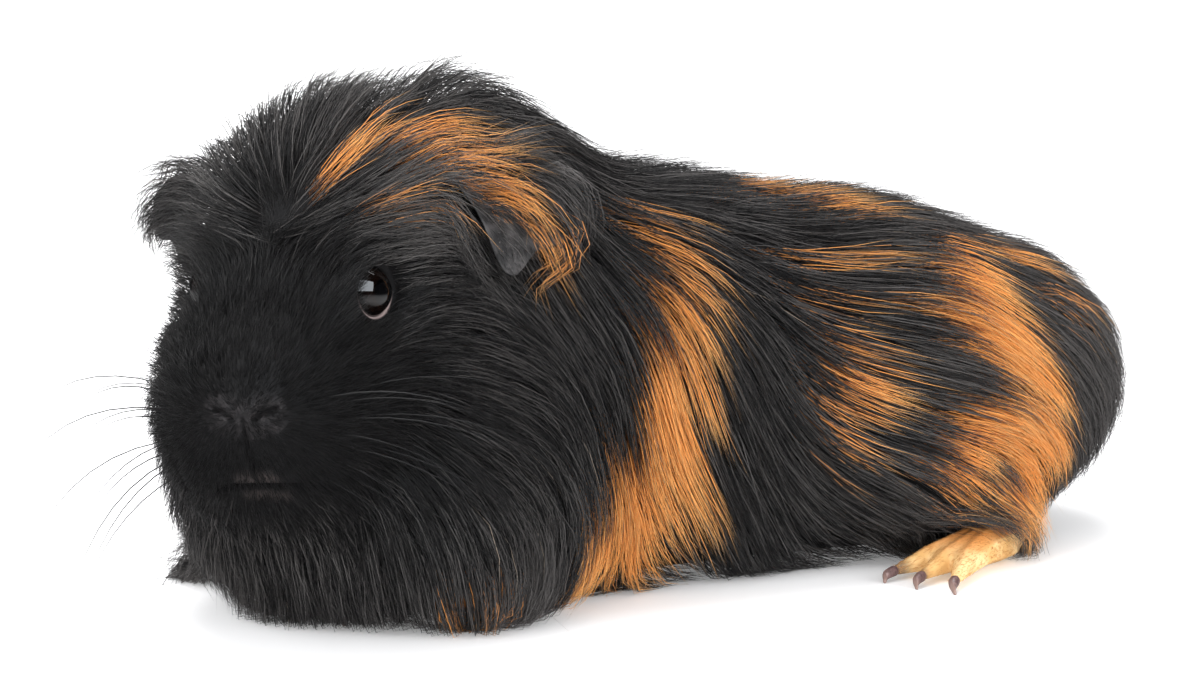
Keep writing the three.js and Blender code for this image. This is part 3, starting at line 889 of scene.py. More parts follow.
def strands_of(lines, normals, sizes, segments, field, rng):
    """The strands of each lock: they start side by side and draw together at its end."""
    per_lock, spread, clump, fuzz = sizes
    member_lines = np.repeat(lines, per_lock, axis=0)
    member_out = np.repeat(normals, per_lock, axis=0)
    spread, clump = np.repeat(spread, per_lock), np.repeat(clump, per_lock)
    count = len(member_lines)
    side = laid_along(rng.normal(size=(count, 3)), member_out)
    offset = side * (spread * np.sqrt(rng.random(count)))[:, None]
    reach = rng.uniform(*STRAND["reach"], count)
    where = np.linspace(0, 1, segments + 1)[None] * reach[:, None]
    beyond = np.maximum(where - 1, 0)[..., None]
    at = along_lines(member_lines, where)
    at += (member_lines[:, -1] - member_lines[:, -2])[:, None] * beyond * (lines.shape[1] - 1)
    closing = 1 - clump[:, None] * where ** STRAND["closing"]
    at += offset[:, None] * closing[..., None]
    drift = rng.normal(size=(count, 1, 3)) * fuzz
    run = np.linalg.norm(at[:, -1] - at[:, 0], axis=1)[:, None, None]
    at += drift * (where ** STRAND["straying"])[..., None] * run
    flat = at.reshape(-1, 3)
    away, out = field.look(flat)
    lowest = np.full(at.shape[:2], HAIR_CLEARANCE)
    lowest[:, 0] = -ROOT_DEPTH
    lift = lowest.ravel() - away
    at_root = np.tile(np.arange(segments + 1) == 0, count)
    lift = np.where(at_root, lift, np.maximum(lift, 0))
    flat = flat + out * lift[:, None]
    flat[:, 2] = np.maximum(flat[:, 2], FLOOR_HAIR + FLOOR_PILE * rng.random(len(flat)))
    return flat.reshape(at.shape), out.reshape(at.shape)


def strand_mesh(name, paths, outs, widths, values):
    """One mesh of tapering, closed strands along the paths."""
    count, rings, sides = len(paths), paths.shape[1] - 1, len(STRAND_EDGES)
    tangent = unit(np.gradient(paths, axis=1))
    out = unit(outs - (outs * tangent).sum(-1, keepdims=True) * tangent)
    across = np.cross(out, tangent)
    share = np.linspace(0, 1, rings + 1)[:-1]
    narrow_root = TAPER["root"] + (1 - TAPER["root"]) * np.minimum(1, share * TAPER["widens"])
    taper = (1 - share ** TAPER["tip"]) * narrow_root
    edges = np.radians(STRAND_EDGES)[:, None]
    flattened = STRAND_FLATNESS * out[:, :-1, None] * np.sin(edges)
    ring = across[:, :-1, None] * np.cos(edges) + flattened
    radius = (widths[:, None] / 2 * taper[None])[:, :, None, None]
    body = (paths[:, :-1, None] + ring * radius).reshape(count, -1, 3)
    points = np.concatenate([body, paths[:, -1:]], 1)
    per = rings * sides + 1
    faces = [(2, 1, 0)]
    for start in range(0, per - 1, sides):
        for i in range(sides):
            a, b = start + i, start + (i + 1) % sides
            if start + sides < per - 1:
                faces += [(a, b, b + sides), (a, b + sides, a + sides)]
            else:
                faces.append((a, b, per - 1))
    faces = np.array(faces)
    corners = (faces[None] + (np.arange(count) * per)[:, None, None]).ravel()
    mesh = bpy.data.meshes.new(name)
    mesh.vertices.add(count * per)
    mesh.vertices.foreach_set("co", (points * MM).astype(np.float32).ravel())
    mesh.loops.add(len(corners))
    mesh.loops.foreach_set("vertex_index", corners.astype(np.int32))
    mesh.polygons.add(len(corners) // 3)
    mesh.polygons.foreach_set("loop_start", np.arange(0, len(corners), 3, dtype=np.int32))
    mesh.polygons.foreach_set("use_smooth", np.ones(len(corners) // 3, bool))
    along = np.append(np.repeat(share, sides), 1)
    sideways = np.append(np.tile((-0.5, 0, 0.5), rings), 0)
    patch = np.stack([sideways, along - 0.5], 1) * UNWRAP_PATCH
    spots = (unwrapped(paths[:, 0])[:, None] + patch[None]).reshape(-1, 2)
    layer = mesh.uv_layers.new(name="OFBake")
    layer.data.foreach_set("uv", spots[corners].astype(np.float32).ravel())
    values = {**values, "along": np.tile(along, count)}
    for key, value in values.items():
        value = np.repeat(value, per) if len(value) == count else value
        store(mesh, key, value)
    mesh.update()
    mesh.validate()
    return linked(name, mesh)


# ------------------------------------------------------------------ the pieces of the coat
# Which places a piece covers, how many lengths its strands bend in, how many strands make a lock,
# how far a lock's roots spread, how many times over its strands cover the skin, and how much
# its strands stray.
COAT_PIECES = {
    "coat_muzzle": dict(
        places=("nose", "lip", "mouth_corner", "whisker_pad", "muzzle_side", "bridge", "chin"),
        segments=2, per_lock=2, spread=0.9, cover=3.6, fuzz=0.16),
    "coat_face": dict(
        places=("brow_middle", "eye_front", "eye", "eye_under", "temple", "brow", "ear_root",
                "far_temple", "ear_back"),
        segments=3, per_lock=3, spread=1.1, cover=5.6, fuzz=0.11),
    "coat_cheeks": dict(
        places=("cheek", "jowl", "throat"),
        segments=3, per_lock=6, spread=1.6, cover=9.0, fuzz=0.07),
    "coat_crown": dict(
        places=("rosette", "crown", "nape", "behind_cheek", "crest_front", "crest_top",
                "crest_side", "crest_fall"),
        segments=4, per_lock=6, spread=1.8, cover=9.0, fuzz=0.08),
    "coat_mane": dict(
        places=("mane_top", "mane_left", "mane_right"),
        segments=4, per_lock=7, spread=2.2, cover=12.0, fuzz=0.05),
    "coat_shoulders": dict(
        places=("shoulder_left", "shoulder_right", "elbow_left", "elbow_right"),
        segments=4, per_lock=8, spread=2.4, cover=9.5, fuzz=0.045),
    "coat_breast": dict(
        places=("breast_left", "breast_right", "breast_low", "breast_fringe"),
        segments=3, per_lock=7, spread=2.2, cover=7.0, fuzz=0.05),
    "coat_withers": dict(
        places=("withers", "withers_side", "back", "saddle"),
        segments=3, per_lock=8, spread=2.4, cover=10.5, fuzz=0.045),
    "coat_flanks": dict(
        places=("flank_front", "flank_front_low", "flank", "flank_low"),
        segments=3, per_lock=8, spread=2.4, cover=9.5, fuzz=0.045),
    "coat_rump": dict(
        places=("croup", "rear", "hip", "rear_side"),
        segments=3, per_lock=8, spread=2.4, cover=8.0, fuzz=0.045),
    "coat_thighs": dict(
        places=("rump_side", "thigh", "thigh_rear", "thigh_low", "thigh_hem"),
        segments=3, per_lock=8, spread=2.2, cover=9.5, fuzz=0.05),
    "coat_belly": dict(
        places=("belly",),
        segments=2, per_lock=4, spread=2.0, cover=1.5, fuzz=0.05),
}
EYE_CLEAR = 1.07  # no strand comes nearer an eye than its radius times this
EYE_EDGE = 0.2  # strands may cross this much of an open eye's edge
BARE = {"nostril": 0.5, "mouth": 0.4}  # how far round each of these the skin is bare
BARE_LID = 0.5
LID_REACH = (-2, 9)  # from behind an eye's middle to ahead of it
MUZZLE_FRONT = 36  # how far out on the head the muzzle's front begins


def away_from_eyes(paths):
    """Pushes strands off the eyeballs, and says which ones would still cross an open eye."""
    crossing = np.zeros(len(paths), bool)
    clear = EYE_RADIUS * EYE_CLEAR
    for side in SIDES.values():
        height, wide, across, axis = round_the_eye(paths, side)
        over_it = (height > 0) & (height < EYE_AHEAD) & (wide < EYE_OPENING - EYE_EDGE)
        crossing |= over_it.any(1)
        spoke = across + height[..., None] * axis
        away = np.linalg.norm(spoke, axis=2)
        paths = np.where((away < clear)[..., None], paths - spoke + unit(spoke) * clear, paths)
    return paths, crossing


def open_skin(points):
    """Where no hair grows: inside the nostrils and the mouth, and in and at the lids."""
    local = in_head(points)
    front = on_muzzle(local)
    bare = np.zeros(len(points), bool)
    for name, margin in BARE.items():
        near = distance_to_path(front, MUZZLE_FORMS[name]["path"]) < margin
        bare |= near & (local[:, 0] > MUZZLE_FRONT)
    for side in SIDES.values():
        height, wide, _, _ = round_the_eye(points, side)
        near = (height > LID_REACH[0]) & (height < LID_REACH[1])
        bare |= near & (wide < EYE_OPENING + BARE_LID)
    return bare


EAR_LOBE_TOP = 18  # below this, in the head's frame, less of an ear's back is haired
# The way the haired back of an ear faces, how much facing outward counts besides, and how far a
# face has to turn that way, on the lobe and above it.
EAR_BACK = {"way": (-0.45, 0, 0.65), "outward": 0.6, "lobe": 0.5, "above": -0.1}


def ear_backs(skin):
    """The faces that look the way the haired back of an ear does."""
    local = in_head(face_values(skin, "center") / MM)
    facing = face_values(skin, "normal") @ HEAD_TURN
    outward = EAR_BACK["outward"] * np.sign(local[:, 1]) * facing[:, 1]
    enough = np.where(local[:, 2] < EAR_LOBE_TOP, EAR_BACK["lobe"], EAR_BACK["above"])
    return facing @ EAR_BACK["way"] + outward > enough


# The range of a lock's length against its place's; the lowest layer it lies in, how much higher it
# may lie and how they bunch; how many locks are loose, and how loose those and the others are.
LOCK = {
    "length": (0.8, 1.15), "layer": (0.45, 0.57, 0.55), "loose_share": 0.1, "loose": (0.25, 0.03),
}
# How wide a hair is against its place's, how its tone varies by lock and by hair, and how much it
# mixes across an edge. A few hairs longer than this are stray pale ones, past any other tone.
HAIR = {"width": (0.5, 1.1), "lock_tone": 0.3, "tone": (0.85, 1.4), "mixing": 0.16}
STRAY = {"share": 0.0016, "longer": 16, "tone": 1.5}


BROW_PAINTED_LIGHT, BROW_PAINTED_LIGHT_REACH, NOSE_PAINTED_SHADE_REACH = (8, 19, 22), 10, 14
# How much paler the black hair is in each of these places, or darker where it is negative: painted
# light on the brow, the crown and under the breast, painted shade on the face and nose, and a fade
# toward the rump.
PAINTED_LIGHT_AND_TONES = {"brow": 0.8, "under": 0.6, "crown": 0.15, "face": -0.4, "nose": -0.6, "rump": 0.42}


def painted_light_and_tone_shift(points):
    """Painted shade makes the black hair deepest on the face and nose, painted light makes it paler on
    the brow, the crown and under the breast, and it fades to a brownish grey toward the rump."""
    local = in_head(points)
    share = {
        "brow": np.exp(-((local - BROW_PAINTED_LIGHT) ** 2).sum(1) / BROW_PAINTED_LIGHT_REACH**2),
        "under": smoothstep(46, 12, points[:, 2]) * smoothstep(35, 60, points[:, 0]),
        "crown": smoothstep(12, 30, local[:, 2]) * (local[:, 0] > -30),
        "face": smoothstep(0, 30, local[:, 0]),
        "nose": np.exp(-((local - NOSE) ** 2).sum(1) / NOSE_PAINTED_SHADE_REACH**2),
        "rump": smoothstep(30, -110, points[:, 0]),
    }
    return sum(tone * share[place] for place, tone in PAINTED_LIGHT_AND_TONES.items())


def coat_piece(name, field, skin, haired, material, seed):
    """One piece of the coat: locks scattered on its places, each lock a few strands."""
    plan = COAT_PIECES[name]
    per_lock = plan["per_lock"]
    mine = np.array([spot["name"] in plan["places"] for spot in PLACES])
    rng = np.random.default_rng(seed)

    def lock_density(points):
        weight = shares(points)
        length = weight @ np.array([spot["length"] for spot in PLACES])
        width = weight @ np.array([spot["width"] for spot in PLACES])
        here = mine[weight.argmax(1)]
        return here * plan["cover"] / (length * width * per_lock)

    roots, out = scattered(skin, haired, lock_density, rng)
    kept = ~open_skin(roots)
    roots, out = roots[kept], out[kept]
    depth, length, width, lift, clump = groom_at(roots, *GROOM_VALUES)
    count = len(roots)
    length = length * rng.uniform(*LOCK["length"], count)
    lowest, above, bunching = LOCK["layer"]
    layer = lowest + above * rng.random(count) ** bunching
    loose = np.where(rng.random(count) < LOCK["loose_share"], *LOCK["loose"]) * depth
    values = (depth, length, lift, layer, loose)
    lines = guide_lines(field, roots, out, values, plan["segments"], rng)
    middle = along_lines(lines, np.full((count, 1), 0.5))[:, 0]
    spread = np.full(count, plan["spread"])
    sizes = (per_lock, spread, clump, plan["fuzz"])
    paths, outs = strands_of(lines, out, sizes, plan["segments"], field, rng)
    paths, crossing = away_from_eyes(paths)
    keep = ~crossing
    total = len(paths)
    widths = np.repeat(width, per_lock) * rng.uniform(*HAIR["width"], total)
    # Each lock's tone carries the painted light and painted shade of its place.
    tone = np.repeat(HAIR["lock_tone"] * rng.random(count) + painted_light_and_tone_shift(roots), per_lock)
    spread_of_tone, low_tones = HAIR["tone"]
    tone = np.clip(tone + spread_of_tone * rng.random(total) ** low_tones, 0, 1)
    long_hair = np.repeat(length, per_lock) > STRAY["longer"]
    tone[(rng.random(total) < STRAY["share"]) & long_hair] = STRAY["tone"]
    mixing = rng.normal(0, HAIR["mixing"], total)
    ginger = ginger_at(np.repeat(middle, per_lock, axis=0), mixing)
    shade = {"ginger": ginger[keep], "tone": tone[keep]}
    coat = strand_mesh(name, paths[keep], outs[keep], widths[keep], shade)
    return finished(coat, name, (), material)


# How many hairs stand on a square millimetre, how long and wide they are, how many degrees they
# lift, and the seed of their draws.
SHORT_FUR = {"ear_hair": (1.1, 2.6, 0.12, 14, 31), "foot_hair": (2.4, 1.9, 0.12, 5, 32)}
# How far each hair strays, the ranges of its lift and length, how much of its lift is left at the
# tip, how deep its root is and how low it may lie.
FUR = {
    "stray": 0.22, "lift": (0.5, 1.5), "length": (0.7, 1.25), "tip_lift": 0.4,
    "root": 0.15, "lowest": 0.1,
}


def short_fur(name, skin, faces, comb, material):
    """Short separate hairs on the ears or the feet, combed the way that comb says."""
    density, length, width, lift, seed = SHORT_FUR[name]
    rng = np.random.default_rng(seed)
    roots, out = scattered(skin, faces, lambda points: np.full(len(points), density), rng)
    count = len(roots)
    way = laid_along(comb(roots) + rng.normal(0, FUR["stray"], (count, 3)), out)
    steep = math.radians(lift) * rng.uniform(*FUR["lift"], (count, 1))
    run = (length * rng.uniform(*FUR["length"], count))[:, None]
    middle = roots + (way * np.cos(steep) + out * np.sin(steep)) * run * 0.5
    steep = steep * FUR["tip_lift"]
    tip = middle + (way * np.cos(steep) + out * np.sin(steep)) * run * 0.5
    paths = np.stack([roots - out * FUR["root"], middle, tip], 1)
    paths[..., 2] = np.maximum(paths[..., 2], FUR["lowest"])
    outs = np.repeat(out[:, None], 3, axis=1)
    shade = {"ginger": ginger_at(roots), "tone": rng.random(count)}
    fur = strand_mesh(name, paths, outs, np.full(count, width), shade)
    return finished(fur, name, (), material)


# Whiskers grow in rows: where on the head the first one stands and which way it grows, and how the
# next in its row and in the next row differ from it.
WHISKERS = {
    "rows": 4, "in_row": 3, "length": (40, 54), "width": 0.3, "droop": 0.5, "back": (-0.6, -0.15, 0),
    "root": (38, 12, -9), "root_next": (-3.2, 1.8, 0), "root_below": (0, 0, -4),
    "way": (-0.02, 0.95, 0.35), "way_next": (-0.08, 0, 0), "way_below": (0, 0, -0.24),
    "bends": 8, "root_stray": 0.5, "way_stray": 0.06, "lengths": (0.75, 1.1), "widths": (0.7, 1.2),
    "tone": (0.2, 0.3), "lowest": 1, "seed": 77,
}


def whiskers(material):
    """Rows of long bristles from the whisker pads, leaning back and drooping to their ends."""
    plan = {key: np.array(value) for key, value in WHISKERS.items()}
    rng = np.random.default_rng(WHISKERS["seed"])
    paths, outs = [], []
    share = np.linspace(0, 1, WHISKERS["bends"] + 1)[:, None]
    for side in SIDES.values():
        for row in range(WHISKERS["rows"]):
            for spot in range(WHISKERS["in_row"]):
                root = plan["root"] + plan["root_next"] * spot + plan["root_below"] * row
                root = root + rng.normal(0, WHISKERS["root_stray"], 3)
                way = plan["way"] + plan["way_next"] * spot + plan["way_below"] * row
                way = unit(way + rng.normal(0, WHISKERS["way_stray"], 3))
                length = np.interp(spot, (0, WHISKERS["in_row"] - 1), WHISKERS["length"])
                length *= rng.uniform(*WHISKERS["lengths"])
                path = root + length * (share * way + 0.5 * share**2 * plan["back"])
                path = on_head(mirrored(path, side))
                path[:, 2] -= WHISKERS["droop"] * length * share[:, 0] ** 2
                path[:, 2] = np.maximum(path[:, 2], WHISKERS["lowest"])
                paths.append(path)
                outs.append(np.tile(HEAD_TURN @ (1.0, 0.0, 0.0), (len(path), 1)))
    count = len(paths)
    widths = WHISKERS["width"] * rng.uniform(*WHISKERS["widths"], count)
    darkest, range_of_tone = WHISKERS["tone"]
    shade = {"ginger": np.zeros(count), "tone": darkest + range_of_tone * rng.random(count)}
    made = strand_mesh("whiskers", np.array(paths), np.array(outs), widths, shade)
    return finished(made, "whiskers", (), material)


# ------------------------------------------------------------------ finishes
def new_material(name, roughness, specular=0.5):
    """A material with this finish and no colour yet, its node tree and its shader."""
    material = bpy.data.materials.new(name)
    material.use_nodes = True
    shader = material.node_tree.nodes["Principled BSDF"]
    shader.inputs["Roughness"].default_value = roughness
    shader.inputs["Specular IOR Level"].default_value = specular
    return material, material.node_tree, shader


def plug(tree, socket, value):
    """Links another socket to an input, or sets the input to a number or a colour."""
    if isinstance(value, bpy.types.NodeSocket):
        tree.links.new(value, socket)
    else:
        socket.default_value = (*value, 1.0) if socket.type == "RGBA" else value


def feed(tree, node, **values):
    """Plugs each value into the node's input of that name."""
    for key, value in values.items():
        plug(tree, node.inputs[key.replace("_", " ")], value)


def add_node(tree, kind, **settings):
    node = tree.nodes.new(kind)
    for key, value in settings.items():
        setattr(node, key, value)
    return node


def attribute(tree, name):
    return add_node(tree, "ShaderNodeAttribute", attribute_name=name).outputs["Fac"]


def mixed(tree, factor, first, second, blend="MIX"):
    """A colour mix; factor and colours are sockets or values."""
    node = add_node(tree, "ShaderNodeMix", data_type="RGBA", blend_type=blend)
    for index, value in ((0, factor), (6, first), (7, second)):
        plug(tree, node.inputs[index], value)
    return node.outputs[2]


def ranged(tree, value, low, high, to_low=0.0, to_high=1.0):
    """A value that eases from one number to another while the given one goes from low to high."""
    node = add_node(tree, "ShaderNodeMapRange", interpolation_type="SMOOTHSTEP")
    feed(tree, node, Value=value, From_Min=low, From_Max=high, To_Min=to_low, To_Max=to_high)
    return node.outputs["Result"]


def fading(tree, value, low, high, first, second):
    """The first colour, turning to the second while the value goes from low to high."""
    return mixed(tree, ranged(tree, value, low, high), first, second)


def maths(tree, operation, first, second):
    """One sum of two sockets or numbers."""
    node = add_node(tree, "ShaderNodeMath", operation=operation)
    plug(tree, node.inputs[0], first)
    plug(tree, node.inputs[1], second)
    return node.outputs[0]


STRAY_COLOUR = (0.34, 0.28, 0.22)
COLOUR_NAMES = ("Black", "Grey", "Ginger root", "Ginger", "Ginger tip")


def hair_group():
    """The colour of a hair from root to tip, for any marking; used by the coat and the skin."""
    name = "Hair colour"
    if name in bpy.data.node_groups:
        return bpy.data.node_groups[name]
    tree = bpy.data.node_groups.new(name, "ShaderNodeTree")
    for key in ("Marking", "Along", "Tone"):
        tree.interface.new_socket(key, in_out="INPUT", socket_type="NodeSocketFloat")
    for key in COLOUR_NAMES:
        tree.interface.new_socket(key, in_out="INPUT", socket_type="NodeSocketColor")
    tree.interface.new_socket("Color", in_out="OUTPUT", socket_type="NodeSocketColor")
    given = tree.nodes.new("NodeGroupInput").outputs
    along, tone = given["Along"], given["Tone"]
    black = fading(tree, tone, 0.45, 1.0, given["Black"], given["Grey"])
    rooted = fading(tree, along, 0.0, 0.3, given["Ginger root"], given["Ginger"])
    tipped = fading(tree, along, 0.55, 1.0, rooted, given["Ginger tip"])
    deep = ranged(tree, tone, 0.0, 0.6, 0.72, 1.0)
    ginger = mixed(tree, 1, tipped, deep, "MULTIPLY")
    marked = mixed(tree, given["Marking"], black, ginger)
    result = fading(tree, tone, 1.1, STRAY["tone"], marked, STRAY_COLOUR)
    feed(tree, tree.nodes.new("NodeGroupOutput"), Color=result)
    return tree


def hair_colour(tree, marking, along, tone, colours):
    node = add_node(tree, "ShaderNodeGroup", node_tree=hair_group())
    feed(tree, node, Marking=marking, Along=along, Tone=tone, **colours)
    return node.outputs["Color"]


def coat_colours():
    s = bpy.context.scene.guinea_pig_coat
    return dict(zip(COLOUR_NAMES, (s.black, s.grey, s.ginger_root, s.ginger, s.ginger_tip)))


def coat_material(name, colours, roughness=0.4, sheen=0.04, gloss=0.28):
    material, tree, shader = new_material(name, roughness, gloss)
    marking, along, tone = (attribute(tree, key) for key in ("ginger", "along", "tone"))
    base = hair_colour(tree, marking, along, tone, colours)
    feed(tree, shader, Base_Color=base, Sheen_Weight=sheen, Sheen_Roughness=0.4)
    return material


def bump(tree, height, strength, distance):
    """A normal from a height; its distance is in millimetres."""
    node = add_node(tree, "ShaderNodeBump")
    feed(tree, node, Strength=strength, Distance=distance * MM, Height=height)
    return node.outputs["Normal"]


def noise_texture(tree, scale, detail, stretch=None):
    """Noise on the object's own coordinates, with this many waves to the millimetre."""
    place = add_node(tree, "ShaderNodeTexCoord").outputs["Object"]
    if stretch:
        mapping = add_node(tree, "ShaderNodeMapping")
        feed(tree, mapping, Vector=place, Scale=stretch)
        place = mapping.outputs["Vector"]
    node = add_node(tree, "ShaderNodeTexNoise")
    feed(tree, node, Vector=place, Scale=scale / MM, Detail=detail)
    return node.outputs["Fac"]


def skin_material():
    """Skin under the coat, with the coat's own markings; bare on nose, lips and lids, each with a
    colour of its own.
    """
    material, tree, shader = new_material("Skin", 0.55, 0.18)
    fine = noise_texture(tree, 0.9, 4)
    tone = ranged(tree, fine, 0.3, 0.8, 0.2, 0.6)
    base = hair_colour(tree, attribute(tree, "ginger"), 0.1, tone, coat_colours())
    mottled = fading(tree, fine, 0.3, 0.8, (0.012, 0.011, 0.012), (0.03, 0.026, 0.027))
    base = mixed(tree, attribute(tree, "nose"), base, mottled)
    base = mixed(tree, attribute(tree, "lip"), base, (0.05, 0.04, 0.038))
    base = mixed(tree, attribute(tree, "rim"), base, (0.45, 0.35, 0.34))
    normal = bump(tree, noise_texture(tree, 2.2, 5), 0.5, 0.25)
    feed(tree, shader, Base_Color=base, Normal=normal)
    return material


def ear_material():
    """The bare hollow of an ear, dark and clouded, with pale speckles."""
    material, tree, shader = new_material("Bare ear", 0.55)
    cloud = noise_texture(tree, 0.35, 4)
    base = fading(tree, cloud, 0.35, 0.7, (0.02, 0.019, 0.02), (0.075, 0.07, 0.07))
    base = fading(tree, noise_texture(tree, 2.4, 2), 0.62, 0.75, base, (0.16, 0.15, 0.15))
    normal = bump(tree, noise_texture(tree, 1.6, 5), 0.4, 0.3)
    feed(tree, shader, Base_Color=base, Normal=normal)
    return material


FOOT_COLOURS = {
    "Black": (0.6, 0.28, 0.08), "Grey": (0.75, 0.42, 0.16), "Ginger root": (0.88, 0.55, 0.22),
    "Ginger": (0.95, 0.66, 0.32), "Ginger tip": (0.97, 0.76, 0.48),
}


def foot_material():
    """The feet's own short fur, cream to gold, redder above, with darker toe ends."""
    material, tree, shader = new_material("Foot coat", 0.6)
    cloud = noise_texture(tree, 0.12, 2)
    base = fading(tree, cloud, 0.3, 0.7, (0.76, 0.44, 0.15), (0.9, 0.63, 0.3))
    base = mixed(tree, attribute(tree, "instep"), base, (0.78, 0.3, 0.07))
    base = mixed(tree, attribute(tree, "toe"), base, (0.1, 0.055, 0.04))
    normal = bump(tree, noise_texture(tree, 3.5, 2, (0.3, 1, 1)), 0.15, 0.1)
    feed(tree, shader, Base_Color=base, Normal=normal)
    return material


def eye_material():
    """A glossy eye: the pupil, the iris round it and the dark outside, by degrees from its axis."""
    material, tree, shader = new_material("Eyeball", 0.02, 1.0)
    turn = attribute(tree, "angle")
    ring = fading(tree, turn, 24, 30, (0.0008, 0.0008, 0.001), (0.004, 0.002, 0.0015))
    base = fading(tree, turn, 42, 56, ring, (0.002, 0.0015, 0.0015))
    feed(tree, shader, Base_Color=base)
    return material


def horn_material():
    """Streaked horn, dark at the root of a claw and pale at its tip."""
    material, tree, shader = new_material("Claw horn", 0.34)
    streaks = noise_texture(tree, 1.6, 4, (1, 1, 0.4))
    dark = fading(tree, streaks, 0.3, 0.7, (0.085, 0.048, 0.048), (0.19, 0.115, 0.11))
    base = fading(tree, attribute(tree, "along"), 0.35, 1.0, dark, (0.33, 0.22, 0.19))
    feed(tree, shader, Base_Color=base, Normal=bump(tree, streaks, 0.35, 0.15))
    return material


# Bare places of the face, as paths across the muzzle's front, and how far from each it is barest
# and ends. The lower lip counts as this much farther away.
NOSE_PAD = {"path": [(0, -9), (4.5, -8)], "ends": 4.6, "full": 3.2}
UPPER_LIP = {"path": [(0, -20.6), (2.6, -21)], "ends": 2.8, "full": 0.2}
LOWER_LIP = {"path": [(0, -24.4), (3.2, -24.8)], "farther": 0.4}
PADS_FROM = 38
# The pale rim of a lower lid: how low it begins and is full, how far from its line it ends and is
# full, where that line is beyond the eye's opening, and how far ahead of the eye's middle it ends.
RIM = {"low": (0.5, -3.5), "edge": (0.4, 0.12), "at": -0.05, "ahead": 6}
INSTEP_HEIGHT, INSTEP_TOP = (4.5, 8.5), (0.3, 0.9)  # it comes in by height and by facing up
# Toes darken over the foot's last millimetres, and only as high up as this.
TOE = {"ends": 5, "full": 1, "highest": 14, "shade": 0.8}
FAR_AWAY = 100


def mark_skin(skin):
    """Writes the markings, and the damp and bare places of the face, on the skin's vertices."""
    points = points_of(skin)
    local = in_head(points)
    front = on_muzzle(local)
    ahead = local[:, 0] > PADS_FROM
    pad = distance_to_path(front, NOSE_PAD["path"])
    lower = distance_to_path(front, LOWER_LIP["path"]) + LOWER_LIP["farther"]
    lips = np.minimum(distance_to_path(front, UPPER_LIP["path"]), lower)
    rim, toe = np.zeros((2, len(points)))
    for side in SIDES.values():
        height, wide, across, _ = round_the_eye(points, side)
        beyond = wide - EYE_OPENING
        low = smoothstep(*RIM["low"], across[:, 2])
        edge = smoothstep(*RIM["edge"], np.abs(beyond - RIM["at"]))
        edge = edge * (height > 0) * (height < RIM["ahead"])
        rim = np.maximum(rim, edge * low)
    for foot in FEET_NODES:
        _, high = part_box(foot)
        reach = (high.x / MM - points[:, 0]) + FAR_AWAY * (points[:, 2] > TOE["highest"])
        toe = np.maximum(toe, smoothstep(TOE["ends"], TOE["full"], reach))
    top = smoothstep(*INSTEP_TOP, normals_of(skin)[:, 2])
    marks = {
        "ginger": ginger_at(points),
        "nose": ahead * smoothstep(NOSE_PAD["ends"], NOSE_PAD["full"], pad),
        "lip": ahead * smoothstep(UPPER_LIP["ends"], UPPER_LIP["full"], lips),
        "rim": rim,
        "toe": toe * TOE["shade"],
        "instep": smoothstep(*INSTEP_HEIGHT, points[:, 2]) * top,
    }
    for name, values in marks.items():
        store(skin.data, name, values)


# ------------------------------------------------------------------ settings
class CoatSettings(bpy.types.PropertyGroup):
    """The colours of the coat."""

    black: FloatVectorProperty(
        name="Black", description="The darkest hair", subtype="COLOR", default=(0.0065, 0.006, 0.0065))
    grey: FloatVectorProperty(
        name="Grey", description="The palest of the black hair", subtype="COLOR",
        default=(0.1, 0.093, 0.09))
    ginger_root: FloatVectorProperty(
        name="Ginger root", description="Ginger hair at the skin", subtype="COLOR",
        default=(0.5, 0.17, 0.045))
    ginger: FloatVectorProperty(
        name="Ginger", description="Ginger hair along its length", subtype="COLOR",
        default=(0.9, 0.37, 0.093))
    ginger_tip: FloatVectorProperty(
        name="Ginger tip", description="Ginger hair at its end", subtype="COLOR",
        default=(0.95, 0.54, 0.195))
    seed: IntProperty(name="Seed", description="Changes where each lock falls", default=11, min=0)


class StageSettings(bpy.types.PropertyGroup):
    """The camera, lights and floor."""

    azimuth: FloatProperty(
        name="Azimuth", description="The camera's side, from the animal's front to its left",
        subtype="ANGLE", default=math.radians(60.81))
    elevation: FloatProperty(
        name="Elevation", description="The camera's height above the horizon", subtype="ANGLE",
        default=math.radians(6.97))
    roll: FloatProperty(
        name="Roll", description="How far the camera is tipped sideways", subtype="ANGLE",
        default=math.radians(0.3))
    distance: FloatProperty(
        name="Distance", description="From the camera to what it looks at", subtype="DISTANCE",
        unit="LENGTH", default=0.5186)
    lens: FloatProperty(
        name="Focal length", description="In millimetres, for a sensor 36 wide", default=68.2)
    key_power: FloatProperty(
        name="Key light", description="Power of the main softbox", default=7.5, min=0)
    fill_power: FloatProperty(
        name="Fill light", description="Power of the softbox on the other side", default=4.5, min=0)
    top_power: FloatProperty(
        name="Top light", description="Power of the softbox overhead", default=12.0, min=0)
    window_power: FloatProperty(
        name="Window", description="Power of the light that shows in the eyes", default=7.5, min=0)
    sky: FloatProperty(
        name="Sky", description="Strength of the light from all round", default=0.8, min=0)
    backdrop: FloatProperty(
        name="Backdrop", description="How far the floor glows where it rises", default=0.75,
        min=0, max=1)
    floor_color: FloatVectorProperty(
        name="Floor", description="Colour of the floor", subtype="COLOR", default=(0.86, 0.86, 0.87))


